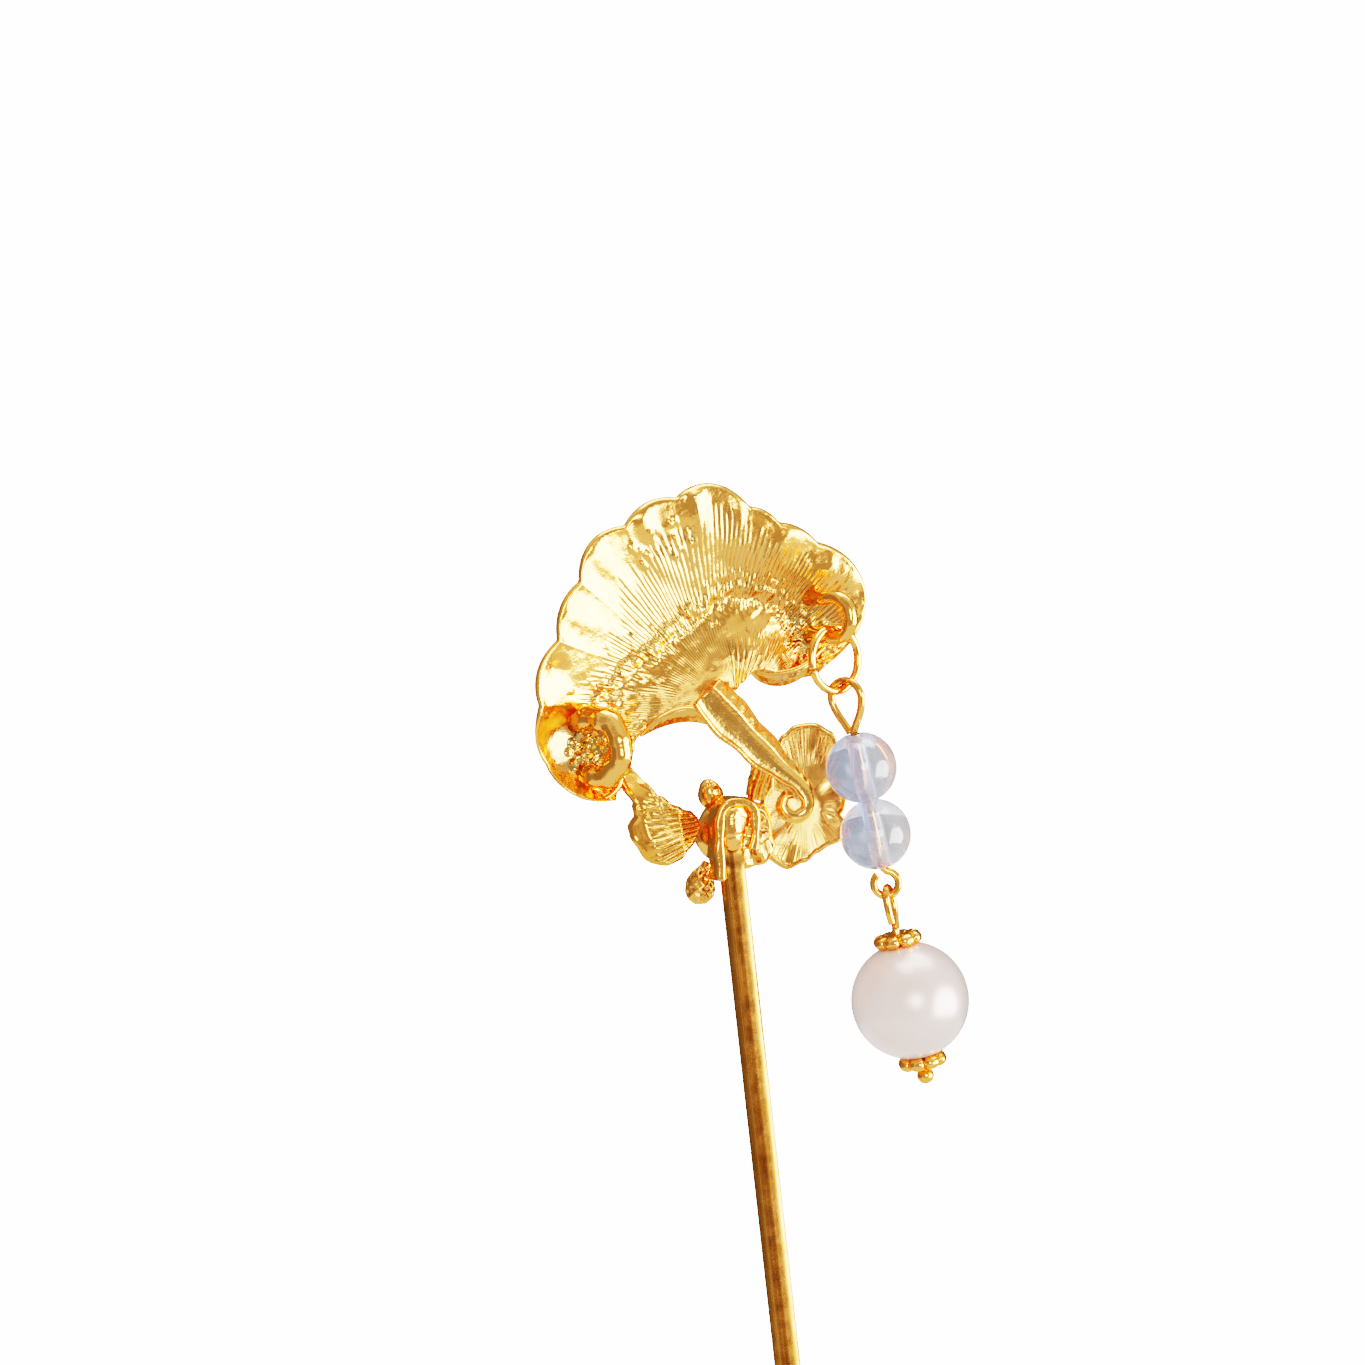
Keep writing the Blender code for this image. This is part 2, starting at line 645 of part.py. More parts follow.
def build_jump_ring(ring):
    radius = (RING_DIAMETER - RING_WIRE) / 2.0
    centre = radius - ring_rise()
    path = []
    for step in range(RING_STEPS + 1):
        turn = math.radians(RING_SPLIT + RING_GAP / 2.0 + (360.0 - RING_GAP) * step / RING_STEPS)
        path.append(ring.at(radius * math.cos(turn), 0.0, centre + radius * math.sin(turn)))
    points, faces = sweep(path, [RING_WIRE / 2.0] * len(path), ring.normal)
    add_node("jump_ring", points, faces, gold("ring_gold", 0.15), ring.pivot)


def build_link(link, eye, face):
    """Wire bent to a tear-shaped loop, a straight stem and a round eye turned to one side."""
    rise = (RING_WIRE + PIN_WIRE) / 2.0 + HOOK_GAP
    path = smooth_path([link.at(side, 0.0, fall - rise) for side, fall in LINK_LOOP], 3)
    foot = eye_drop() - EYE_RADIUS
    for drop in (LINK_STEM + 0.4, LINK_STEM + 2.0, foot - 2.0, foot - 0.55):
        path.append(link.at(0.0, 0.0, drop))
    path.append(link.at(0.0, 0.0, foot - 0.25) + face * 0.05)
    for step in range(15):
        turn = math.radians(-72.0 + 309.0 * step / 14)
        path.append(eye + face * EYE_RADIUS * math.cos(turn) + link.down * EYE_RADIUS * math.sin(turn))
    points, faces = sweep(path, [PIN_WIRE / 2.0] * len(path), link.normal)
    add_node("bead_link", points, faces, gold("link_gold", 0.15), link.pivot)


def ball_profile(radius, half, bore, steps):
    """Closed (radius, height) loop of a bored ball with its ends ground flat at +-half."""
    profile = []
    limit = math.asin(min(half / radius, 0.999))
    for step in range(steps + 1):
        lift = -limit + 2.0 * limit * step / steps
        profile.append((radius * math.cos(lift), radius * math.sin(lift)))
    profile.append((bore, half))
    profile.append((bore, -half))
    return profile


def build_ball(name, frame, drop, radius, half, paint):
    profile = ball_profile(radius, half, PIN_WIRE / 2.0 + BORE_CLEARANCE, 10)
    centre = frame.at(0.0, 0.0, drop)

    def place(a, b, tall):
        return centre + frame.sideways * a + frame.normal * b + frame.down * tall

    points, faces = lathe(profile, place)
    add_node(name, points, faces, paint, centre)


def pearl_drops():
    """Drops of the upper cap, the pearl and the lower cap below the drop's pivot."""
    seat = cap_seat()
    upper = DROP_STEM + CAP_HALF_HEIGHT + 0.1
    pearl = upper + seat
    return upper, pearl, pearl + seat


def cap_seat():
    """Distance from the pearl's centre to a cap's centre when its granules rest on the pearl."""
    reach = CAP_DIAMETER / 2.0 - CAP_HALF_HEIGHT
    touch = PEARL_DIAMETER / 2.0 + CAP_HALF_HEIGHT + 0.03
    return math.sqrt(touch ** 2 - reach ** 2)


def build_cap(name, frame, drop):
    """Daisy spacer: a ring of granules round a bored waist."""
    outer = CAP_DIAMETER / 2.0
    bore = PIN_WIRE / 2.0 + 0.8 * BORE_CLEARANCE
    waist = 0.58 * CAP_HALF_HEIGHT
    profile = []
    for step in range(7):
        lift = math.radians(-90.0 + 30.0 * step)
        profile.append((outer - CAP_HALF_HEIGHT + CAP_HALF_HEIGHT * math.cos(lift),
                        CAP_HALF_HEIGHT * math.sin(lift)))
    profile.append((bore, waist))
    profile.append((bore, -waist))
    centre = frame.at(0.0, 0.0, drop)

    def place(a, b, tall):
        return centre + frame.sideways * a + frame.normal * b + frame.down * tall

    points, faces = lathe(profile, place, CAP_LOBES * 6, CAP_LOBES, 0.34)
    add_node(name, points, faces, gold(name + "_gold", 0.15), centre)


def build_head_pin(drop):
    """Wire bent to a long loop at the top, straight through the pearl, ending in a ball."""
    rise = PIN_WIRE + 1.8 * HOOK_GAP
    path = smooth_path([drop.at(side, 0.0, fall - rise) for side, fall in DROP_LOOP], 3)
    sizes = [PIN_WIRE / 2.0] * len(path)
    ball = pearl_drops()[2] + CAP_HALF_HEIGHT + PIN_BALL + 0.25
    for fall in (DROP_STEM + 0.4, DROP_STEM + 3.0, ball - 3.0):
        path.append(drop.at(0.0, 0.0, fall))
        sizes.append(PIN_WIRE / 2.0)
    for lift in (-53.0, -25.0, 0.0, 25.0, 50.0, 75.0):
        turn = math.radians(lift)
        path.append(drop.at(0.0, 0.0, ball + PIN_BALL * math.sin(turn)))
        sizes.append(PIN_BALL * math.cos(turn))
    points, faces = sweep(path, sizes, drop.normal)
    add_node("head_pin", points, faces, gold("pin_gold", 0.15), drop.pivot)


def build_pendant():
    ring, link, drop, eye, face = hang_frames()
    build_jump_ring(ring)
    build_link(link, eye, face)
    opal = (0.86, 0.90, 0.97)
    for name, fall in zip(("opal_bead_upper", "opal_bead_lower"), opal_drops()):
        paint = material(name + "_glass", opal, 0.0, 0.12, 0.6)
        build_ball(name, link, fall, OPAL_DIAMETER / 2.0, opal_half(), paint)
    upper, middle, lower = pearl_drops()
    build_head_pin(drop)
    build_cap("bead_cap_upper", drop, upper)
    nacre = material("pearl_nacre", (0.93, 0.86, 0.82), 0.0, 0.2)
    half = math.sqrt((PEARL_DIAMETER / 2.0) ** 2 - 0.7 ** 2)
    build_ball("pearl", drop, middle, PEARL_DIAMETER / 2.0, half, nacre)
    build_cap("bead_cap_lower", drop, lower)


def main():
    clear_scene()
    build_shank()
    build_socket()
    build_braze_bead()
    build_leaf()
    build_lug("leaf_lug_right", LUG_RIGHT, LUG_BEND, LUG_WIRE)
    build_lug("leaf_lug_left", LUG_LEFT, LUG_LEFT_BEND, LUG_WIRE)
    build_stalk()
    build_limb()
    build_hub()
    build_small_leaf()
    build_blossom()
    build_pod()
    build_bud()
    build_pendant()


main()
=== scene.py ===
"""Looks of a decorative hair pin: a cast, gilt lotus leaf on a brushed shank, with a beaded drop.

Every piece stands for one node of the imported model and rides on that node's body.
Lengths are millimetres until a mesh is made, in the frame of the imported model: the shank
runs along Z, and the side with the lugs faces -Y.
"""
import json
import math

import bmesh
import bpy
import numpy as np
from mathutils import Matrix, Vector


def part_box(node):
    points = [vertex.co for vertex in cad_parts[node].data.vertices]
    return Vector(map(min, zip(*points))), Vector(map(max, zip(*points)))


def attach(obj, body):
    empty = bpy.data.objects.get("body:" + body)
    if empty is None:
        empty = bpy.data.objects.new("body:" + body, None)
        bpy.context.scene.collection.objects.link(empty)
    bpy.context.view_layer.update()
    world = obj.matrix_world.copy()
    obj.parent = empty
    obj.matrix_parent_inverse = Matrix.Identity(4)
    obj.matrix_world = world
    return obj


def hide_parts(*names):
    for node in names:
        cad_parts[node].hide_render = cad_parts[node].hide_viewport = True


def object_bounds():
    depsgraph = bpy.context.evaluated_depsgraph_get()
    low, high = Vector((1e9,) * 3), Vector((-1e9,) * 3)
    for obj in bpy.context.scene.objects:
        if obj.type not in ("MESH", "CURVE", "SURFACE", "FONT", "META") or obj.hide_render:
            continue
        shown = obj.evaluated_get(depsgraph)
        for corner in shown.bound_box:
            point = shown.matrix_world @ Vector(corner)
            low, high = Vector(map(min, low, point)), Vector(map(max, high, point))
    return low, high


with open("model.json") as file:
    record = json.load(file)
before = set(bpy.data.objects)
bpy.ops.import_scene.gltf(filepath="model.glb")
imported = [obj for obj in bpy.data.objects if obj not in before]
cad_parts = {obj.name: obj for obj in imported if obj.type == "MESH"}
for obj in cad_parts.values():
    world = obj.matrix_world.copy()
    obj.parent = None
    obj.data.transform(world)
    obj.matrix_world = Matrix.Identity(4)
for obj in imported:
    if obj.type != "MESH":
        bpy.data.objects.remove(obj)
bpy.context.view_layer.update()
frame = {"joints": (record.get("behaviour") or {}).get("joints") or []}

MM = 0.001
TAU = 2.0 * math.pi

# Lotus leaf, polar about its heart: (angle, notch radius, bulge of the scallop that follows).
HEART = (1.84, 14.60)
SCALLOPS = (
    (10.5, 7.9, 0.0), (14.0, 9.3, 0.25), (21.0, 12.7, 0.35), (33.0, 15.4, 0.55),
    (55.0, 15.5, 0.30), (69.5, 15.8, 0.30), (79.5, 16.7, 1.30), (100.4, 18.2, 0.70),
    (116.6, 18.0, 1.15), (135.9, 17.3, 0.60), (153.4, 16.6, 0.75), (172.4, 17.1, 0.45),
    (190.0, 16.8, 0.40), (204.0, 15.1, 0.10), (210.5, 12.9, 0.0),
)
# Along the angle: inner edge, valley, depth at the rim and share of the band the veins cover.
INNER_EDGE = (
    (10.5, 6.5), (14.0, 5.4), (21.0, 4.8), (29.5, 4.3), (40.0, 3.8), (51.0, 3.2),
    (62.0, 1.9), (75.0, 1.2), (150.0, 1.2), (163.0, 1.5), (172.0, 2.4), (177.0, 3.8),
    (181.0, 6.2), (186.0, 7.5), (195.0, 8.9), (203.0, 9.8), (207.0, 10.7), (210.5, 11.7),
)
VALLEY = (
    (10.5, 7.2), (25.0, 7.8), (45.0, 9.0), (60.0, 9.5), (80.0, 9.3), (100.0, 8.4), (120.0, 7.9),
    (138.0, 7.9), (155.0, 9.3), (171.0, 11.2), (190.0, 12.2), (207.0, 12.4),
)
RIM_DEPTH = ((10.5, 1.4), (25.0, 1.2), (45.0, 0.6), (75.0, -0.3), (150.0, -0.7), (207.0, 0.2))
VEIN_REACH = ((10.5, 0.75), (50.0, 0.70), (95.0, 0.84), (120.0, 0.62), (150.0, 0.36), (207.0, 0.30))
NECK_RADIUS = 2.8
NECK_DEPTH = 0.38
VALLEY_DEPTH = 2.2
LEAF_THICKNESS = 0.95
LEAF_COLUMNS = 620
LEAF_ROWS = 72
VEIN_COUNT = 112
VEIN_HEIGHT = 0.095
# Folds (angle, rise, width), dents (x, z, depth, width) and hollows (x, z, width, depth).
LEAF_FOLDS = (
    (95.5, 0.42, 0.75), (111.0, 0.30, 0.8), (127.0, 0.16, 0.9), (83.0, 0.20, 0.8), (66.0, 0.15, 0.8),
    (48.0, 0.12, 0.8), (145.0, 0.14, 0.9),
)
LEAF_DENTS = (
    (-3.6, 28.9, 0.35, 0.95), (-13.2, 19.6, 0.30, 0.9), (-1.2, 29.6, 0.15, 0.8), (8.6, 26.2, 0.18, 1.2),
)
RIGHT_HOLLOW = (9.9, 20.3, 2.6, 0.7)
LEFT_HOLLOW = (-13.0, 12.9, 2.9, 1.5)
# Casting grains: seed, count, angles, radii, grain size, centre and the curve the radii count from.
LEAF_GRAINS = (
    (3, 150, (96.0, 200.0), (-0.3, 1.0), (0.14, 0.36), HEART, VALLEY),
    (4, 90, (62.0, 98.0), (-0.2, 2.0), (0.12, 0.26), HEART, VALLEY),
    (5, 70, (10.0, 60.0), (-0.8, 2.6), (0.12, 0.34), HEART, VALLEY),
    (6, 34, (170.0, 203.0), (-1.6, 0.6), (0.18, 0.42), HEART, VALLEY),
    (7, 26, (99.0, 118.0), (13.6, 16.6), (0.16, 0.4), HEART, None),
    (8, 16, (120.0, 170.0), (1.0, 4.0), (0.12, 0.3), HEART, VALLEY),
    (9, 22, (0.0, 360.0), (0.0, 1.9), (0.34, 0.70), (-10.8, 12.2), None),
    (10, 24, (0.0, 360.0), (0.4, 2.3), (0.2, 0.42), (9.3, 20.0), None),
)

# Turned-under edges of the leaf: knots (x, y, z) of the lip and how far its face falls.
HEMS = (
    (((-6.3, 1.3, 13.0), (-4.9, 0.7, 14.3), (-3.1, 0.3, 14.95), (-1.5, -0.05, 14.75), (0.1, -0.4, 13.6),
      (1.9, -0.6, 11.0)), 1.35),
    (((-11.3, 0.9, 8.45), (-10.4, 0.75, 8.3), (-9.5, 0.65, 8.55), (-8.7, 0.6, 9.4),
      (-8.4, 0.7, 10.4)), 0.10),
    (((3.2, 0.9, 18.2), (4.5, 0.7, 17.1), (6.4, 0.6, 16.75), (8.5, 0.7, 17.1), (10.6, 1.0, 18.4)), 1.25),
)

# Lugs: the way the bend faces; centre of the bend, its radius and wire, depth of the leaf, lumps.
LUG_FACING = (0.62, -0.79)
LUGS = {
    "right": ((10.45, -2.6, 21.05), 1.72, 1.15, 3.0, 0.03),
    "left": ((-10.5, 0.1, 12.7), 2.5, 2.0, 3.3, 0.09),
}

# Stalk: centre line (x, z) and half width; then the limb behind it (x, y, z, radius).
STALK = (
    (-0.7, 16.1, 1.55), (0.9, 13.9, 1.95), (2.9, 11.4, 1.68), (4.9, 9.1, 1.22), (6.45, 7.5, 0.88),
    (7.05, 6.3, 0.70), (7.0, 5.2, 0.62), (6.2, 4.6, 0.58), (5.25, 4.8, 0.54), (4.8, 5.65, 0.48),
    (5.2, 6.45, 0.40), (5.85, 6.5, 0.30),
)
STALK_DEPTH = -1.06
LIMB = ((4.1, 0.62, 10.1, 0.70), (3.9, 1.15, 8.9, 0.85), (3.7, 2.0, 7.6, 0.85), (3.5, 2.55, 6.42, 0.8))

# Plates: centre (x, z) and a star-shaped outline of (angle, radius).
HUB_CENTRE = (1.0, 3.6)
HUB_OUTLINE = (
    (0, 3.7), (25, 3.8), (50, 3.4), (90, 3.0), (120, 3.1), (150, 3.0), (180, 3.2),
    (205, 3.0), (235, 2.8), (270, 3.1), (295, 3.5), (315, 4.1), (335, 4.2), (350, 3.7),
)
SMALL_LEAF_CENTRE = (-4.9, 4.9)
SMALL_LEAF_OUTLINE = (
    (-5, 3.10), (8, 2.95), (22, 2.7), (45, 2.15), (75, 2.15), (100, 3.0), (108, 4.4),
    (114, 6.5), (124, 6.6), (130, 5.3), (137, 3.9), (152, 3.25), (168, 3.4), (180, 3.3),
    (205, 3.05), (228, 3.2), (256, 3.05), (282, 2.75), (305, 2.45), (328, 2.6), (345, 2.85),
)
BLOSSOM_CENTRE = (8.4, 4.95)
BLOSSOM_OUTLINE = (
    (4, 3.7), (-14, 3.5), (-24, 3.3), (-36, 4.3), (-52, 4.5), (-69, 4.2), (-84, 4.4),
    (-100, 5.1), (-116, 5.9), (-130, 5.8), (-142, 5.2), (-154, 4.7), (-172, 4.5),
    (170, 4.2), (150, 3.9), (132, 4.4), (115, 5.6), (103, 6.4), (92, 6.9), (78, 7.0),
    (64, 6.6), (50, 5.5), (38, 4.9), (20, 4.7),
)
PETAL_PARTINGS = (-24.0, 30.0, -154.0)
# Pod and bud: knots (x, y, z, radius).
POD = ((-1.3, 2.75, 1.45, 0.45), (-1.6, 2.8, 0.85, 0.62), (-1.95, 2.85, 0.1, 1.15),
       (-2.15, 2.9, -0.7, 1.32), (-2.25, 2.85, -1.5, 1.1), (-2.3, 2.8, -2.05, 0.45))
BUD = ((-0.35, 2.4, 6.3, 0.75), (-0.5, 2.3, 6.9, 1.08), (-0.62, 2.1, 7.5, 1.02),
       (-0.7, 2.1, 8.1, 0.72), (-0.72, 2.1, 8.5, 0.28))

# Shank and its socket; the tip is (share of the taper, share of the width).
SHANK_WIDTH = 2.0
SHANK_SQUARENESS = 4.84
SHANK_TOP = 2.6
SHANK_TAPER = 9.0
SHANK_TIP = ((0.0, 0.16), (0.012, 0.26), (0.05, 0.42), (0.2, 0.60), (0.6, 0.84), (1.0, 1.0))
SOCKET_SQUARENESS = 5.0
SOCKET_WALL = -0.70
# Dents of the solder: (height, 0.9 of the turn in radians, radius, rise).
SOLDER_GRAINS = ((3.4, 4.0, 0.6, 0.14), (4.7, 4.2, 0.8, 0.2), (5.6, 4.0, 0.5, 0.14), (4.2, 3.9, 0.5, 0.16))
SOCKET_SPINE = ((-1.33, 0.2), (-1.18, 2.3), (-0.98, 4.6), (-0.72, 5.75), (-0.15, 6.4), (0.65, 6.62),
                (1.55, 6.5), (2.15, 5.85), (2.22, 4.7), (2.02, 3.3), (1.75, 2.45))

# Pendant: wire sizes and the planes its loops lie in.
RING_RADIUS = 3.0
RING_WIRE = 0.65
PIN_WIRE = 0.6
WIRE_COAT = 0.035
HOOK_GAP = 0.05
RING_PLANE = (0.903, 0.429, 0.0)
LOOP_PLANE = (0.62, -0.785, 0.0)
EYE_PLANE = (0.961, -0.276, 0.0)
PIN_TWIST = 20.0
RING_SPLIT = 165.0
LINK_LOOP = ((-0.34, 4.45), (-0.70, 3.70), (-1.25, 2.60), (-1.50, 1.45), (-1.02, 0.36), (0.0, 0.0),
             (1.02, 0.36), (1.50, 1.45), (1.12, 2.75), (0.32, 3.95), (0.0, 4.50))
LINK_STEM = 3.92
EYE_RADIUS = 1.05
DROP_LOOP = ((-0.60, 3.00), (-0.84, 1.85), (-0.74, 0.64), (0.0, 0.0), (0.74, 0.64),
             (0.84, 1.85), (0.34, 3.10), (0.0, 3.70))
DROP_STEM = 3.25
OPAL_RADIUS = 3.0
OPAL_MOUTH = 0.9
OPAL_BORE = 0.62
PEARL_RADIUS = 5.0
PEARL_MOUTH = 0.7
PEARL_BORE = 0.45
CAP_RADIUS = 2.12
CAP_GRANULE = 0.62
CAP_BORE = 0.42
CAP_LOBES = 8
PIN_BALL = 0.70
BALL_SEAT = 0.58

# Camera: degrees from square on to the side with the lugs, distance and aim; then the floor.
CAMERA_TURN = -16.0
CAMERA_RISE = 5.0
CAMERA_ROLL = 6.4
CAMERA_DISTANCE = 319.0
CAMERA_AIM = (-4.29, 16.6)
CAMERA_LENS = 100.0
CAMERA_SENSOR = 36.0
FLOOR_DROP = 2.0
FLOOR_RADIUS = 260.0


# ---- numbers ----

def eased(table, place):
    """Smooth interpolation of (place, value) rows."""
    places, values = np.array([row[:2] for row in table], float).T
    index = np.clip(np.searchsorted(places, place, side="right") - 1, 0, len(places) - 2)
    share = np.clip((place - places[index]) / (places[index + 1] - places[index]), 0.0, 1.0)
    share = share * share * (3.0 - 2.0 * share)
    return values[index] + (values[index + 1] - values[index]) * share


def ramp(low, high, value):
    """0 below `low`, 1 above `high`, smooth between; works downwards too."""
    share = np.clip((value - low) / (high - low), 0.0, 1.0)
    return share * share * (3.0 - 2.0 * share)


def bell(distance, width):
    """Soft bump: 1 where the distance is 0, gone past about twice the width."""
    return np.exp(-(distance / width) ** 2)


def span(degrees, radius):
    """Length of an arc."""
    return np.radians(degrees) * radius


def away_from(place, x, z):
    return np.hypot(x - place[0], z - place[1])


def turns(columns):
    """Evenly spaced angles round a ring."""
    return np.arange(columns) * TAU / columns


def grid(x, y, z):
    """Points from three fields that share rows and columns."""
    return np.stack(np.broadcast_arrays(x, y, z), axis=-1)


def length_along(path):
    """Distance from the start of a path to each of its points."""
    steps = np.linalg.norm(np.diff(path, axis=0), axis=1)
    return np.concatenate(([0.0], np.cumsum(steps)))


def waviness(a, b, wavelength, seed, count=10):
    """Smooth uneven field over two coordinates, about +-1."""
    draw = np.random.default_rng(seed)
    total = np.zeros(np.broadcast(a, b).shape)
    for _ in range(count):
        turn, phase = draw.uniform(0.0, TAU, 2)
        rate = TAU / (wavelength * draw.uniform(0.7, 1.5))
        total += np.sin(rate * (a * math.cos(turn) + b * math.sin(turn)) + phase)
    return total / math.sqrt(count)


def grains(a, b, spots):
    """Rounded casting grains, given as (a, b, radius, height)."""
    rise = np.zeros(a.shape)
    for spot_a, spot_b, radius, height in spots:
        near = (a - spot_a) ** 2 + (b - spot_b) ** 2
        rise = np.maximum(rise, height * np.sqrt(np.clip(1.0 - near / radius ** 2, 0.0, 1.0)))
    return rise


def rounded(distance, width):
    """Edge profile: 0 at the edge, 1 from `width` inwards, along a quarter round."""
    share = np.clip(distance / width, 0.0, 1.0)
    return np.sqrt(np.clip(1.0 - (1.0 - share) ** 2, 0.0, 1.0))


def polar_spots(seed, count, angles, radii, size, centre=HEART, along=None):
    """Grains scattered over a polar patch; `radii` count from the `along` curve if there is one."""
    draw = np.random.default_rng(seed)
    spots = []
    for _ in range(count):
        angle = draw.uniform(*angles)
        base = float(eased(along, angle)) if along else 0.0
        reach = draw.uniform(base + radii[0], base + radii[1])
        radius = draw.uniform(*size)
        turn = math.radians(angle)
        place = (centre[0] + reach * math.cos(turn), centre[1] + reach * math.sin(turn))
        spots.append((*place, radius, radius * draw.uniform(0.45, 0.8)))
    return spots


# ---- meshes ----

def finish_piece(name, points, faces, paint, replaced, painted_shade=None, body="pin"):
    """Closed smooth mesh from millimetre points; it rides on `body` and hides `replaced`."""
    mesh = bpy.data.meshes.new(name)
    mesh.from_pydata((np.asarray(points, float) * MM).tolist(), [], [list(face) for face in faces])
    work = bmesh.new()
    work.from_mesh(mesh)
    bmesh.ops.recalc_face_normals(work, faces=work.faces)
    work.to_mesh(mesh)
    work.free()
    mesh.shade_smooth()
    # Painted shade per point, 0 to 1, which darkens the gilt toward its deep colour: shade in grooves,
    # creases and hollows, and painted reflection bands on the shank.
    shade = mesh.attributes.new("painted_shade", "FLOAT", "POINT")
    values = np.zeros(len(mesh.vertices)) if painted_shade is None else np.asarray(painted_shade, float)
    shade.data.foreach_set("value", values.astype(np.float32))
    mesh.materials.append(paint)
    piece = bpy.data.objects.new(name, mesh)
    bpy.context.scene.collection.objects.link(piece)
    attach(piece, body)
    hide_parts(*replaced)


def merged(bodies):
    """One mesh from several closed (points, faces) bodies."""
    points = []
    faces = []
    for body_points, body_faces in bodies:
        shift = len(points)
        points.extend(body_points)
        faces.extend([shift + corner for corner in face] for face in body_faces)
    return np.array(points), faces


def quads(rows, columns, start=0, wrap=False):
    """Faces of a grid of points stored row by row."""
    faces = []
    for row in range(rows - 1):
        for column in range(columns if wrap else columns - 1):
            after = (column + 1) % columns
            low = start + row * columns
            faces.append((low + column, low + after, low + columns + after, low + columns + column))
    return faces


def shell(front, back):
    """Closed sheet between two grids of points, shape (rows, columns, 3)."""
    rows, columns = front.shape[:2]
    points = np.concatenate((front.reshape(-1, 3), back.reshape(-1, 3)))
    shift = rows * columns
    faces = quads(rows, columns) + quads(rows, columns, shift)
    border = list(range(columns))
    border += [row * columns + columns - 1 for row in range(1, rows)]
    border += [(rows - 1) * columns + column for column in range(columns - 2, -1, -1)]
    border += [row * columns for row in range(rows - 2, 0, -1)]
    for here, after in zip(border, border[1:] + border[:1]):
        faces.append((here, after, shift + after, shift + here))
    return points, faces


def disc(front, back):
    """Closed sheet between two fans: point 0 of each is the centre, then rings of spokes."""
    rings, spokes = front[1].shape[:2]
    points = []
    faces = []
    for centre, ring_points in (front, back):
        start = len(points)
        points.append(centre)
        points.extend(ring_points.reshape(-1, 3))
        faces += [(start, start + 1 + s, start + 1 + (s + 1) % spokes) for s in range(spokes)]
        faces += quads(rings, spokes, start + 1, wrap=True)
    half = len(points) // 2
    rim = 1 + (rings - 1) * spokes
    for spoke in range(spokes):
        after = (spoke + 1) % spokes
        faces.append((rim + spoke, rim + after, half + rim + after, half + rim + spoke))
    return points, faces


def tube(loops):
    """Closed body through loops of points, with a fan at each end."""
    rows, columns = loops.shape[:2]
    points = list(loops.reshape(-1, 3))
    points += [loops[0].mean(axis=0), loops[-1].mean(axis=0)]
    faces = quads(rows, columns, wrap=True)
    first = rows * columns
    top = first - columns
    for column in range(columns):
        after = (column + 1) % columns
        faces.append((first, after, column))
        faces.append((first + 1, top + column, top + after))
    return points, faces


def smooth_path(knots, steps):
    """Catmull-Rom curve through the knots, which may carry extra numbers."""
    rows = np.array(knots, float)
    rows = np.concatenate(([2.0 * rows[0] - rows[1]], rows, [2.0 * rows[-1] - rows[-2]]))
    result = []
    for a, b, c, d in zip(rows, rows[1:], rows[2:], rows[3:]):
        for step in range(steps):
            t = step / steps
            result.append(0.5 * (2.0 * b + (c - a) * t + (2.0 * a - 5.0 * b + 4.0 * c - d) * t * t
                                 + (3.0 * b - a - 3.0 * c + d) * t ** 3))
    result.append(rows[-2])
    return np.array(result)


def frames_along(path, start_side):
    """Unit (side, across) pairs that turn as little as possible along a path."""
    ahead = np.gradient(path, axis=0)
    ahead /= np.linalg.norm(ahead, axis=1)[:, None]
    side = np.array(start_side, float)
    sides = []
    for along in ahead:
        side = side - along * side.dot(along)
        side /= np.linalg.norm(side)
        sides.append(side)
    sides = np.array(sides)
    return sides, np.cross(ahead, sides)


def sweep(path, radii, start_side, columns=24, relief=None):
    """Round bar along a path; `relief(along, around)` adds to its radius."""
    sides, across_path = frames_along(path, start_side)
    around = turns(columns)
    reach = np.asarray(radii, float)[:, None] * np.ones(columns)
    if relief is not None:
        reach = reach + relief(length_along(path)[:, None], around[None, :])
    loops = path[:, None] + reach[..., None] * (
        sides[:, None] * np.cos(around)[:, None] + across_path[:, None] * np.sin(around)[:, None])
    return tube(loops)


def turned_ring(profile, centre, axes, columns, relief=None):
    """Turn a closed (radius, height) profile about the third of `axes`."""
    profile = np.array(profile, float)
    turn = turns(columns)[:, None]
    reach = profile[:, 0] * np.ones((columns, 1))
    tall = profile[:, 1] * np.ones((columns, 1))
    if relief is not None:
        reach, tall = relief(reach, tall, turn)
    side, normal, down = (np.array(axis, float) for axis in axes)
    points = (np.array(centre, float) + (reach * np.cos(turn))[..., None] * side
              + (reach * np.sin(turn))[..., None] * normal + tall[..., None] * down)
    count = len(profile)
    faces = []
    for row in range(columns):
        low = row * count
        high = ((row + 1) % columns) * count
        for column in range(count):
            after = (column + 1) % count
            faces.append((low + column, low + after, high + after, high + column))
    return points.reshape(-1, 3), faces


# ---- materials ----

def new_material(name, metallic, roughness):
    paint = bpy.data.materials.new(name)
    paint.use_nodes = True
    shader = paint.node_tree.nodes["Principled BSDF"]
    shader.inputs["Metallic"].default_value = metallic
    shader.inputs["Roughness"].default_value = roughness
    return paint, shader


def add_node(paint, kind, values=None, **settings):
    """New node in a material or world, with its settings and its inputs."""
    made = paint.node_tree.nodes.new(kind)
    for key, value in settings.items():
        setattr(made, key, value)
    set_inputs(paint, made, values or {})
    return made


def set_inputs(paint, node, values):
    """Give a node's inputs plain values, or link them to other nodes' outputs."""
    for key, value in values.items():
        if isinstance(value, bpy.types.NodeSocket):
            paint.node_tree.links.new(value, node.inputs[key])
        else:
            node.inputs[key].default_value = value


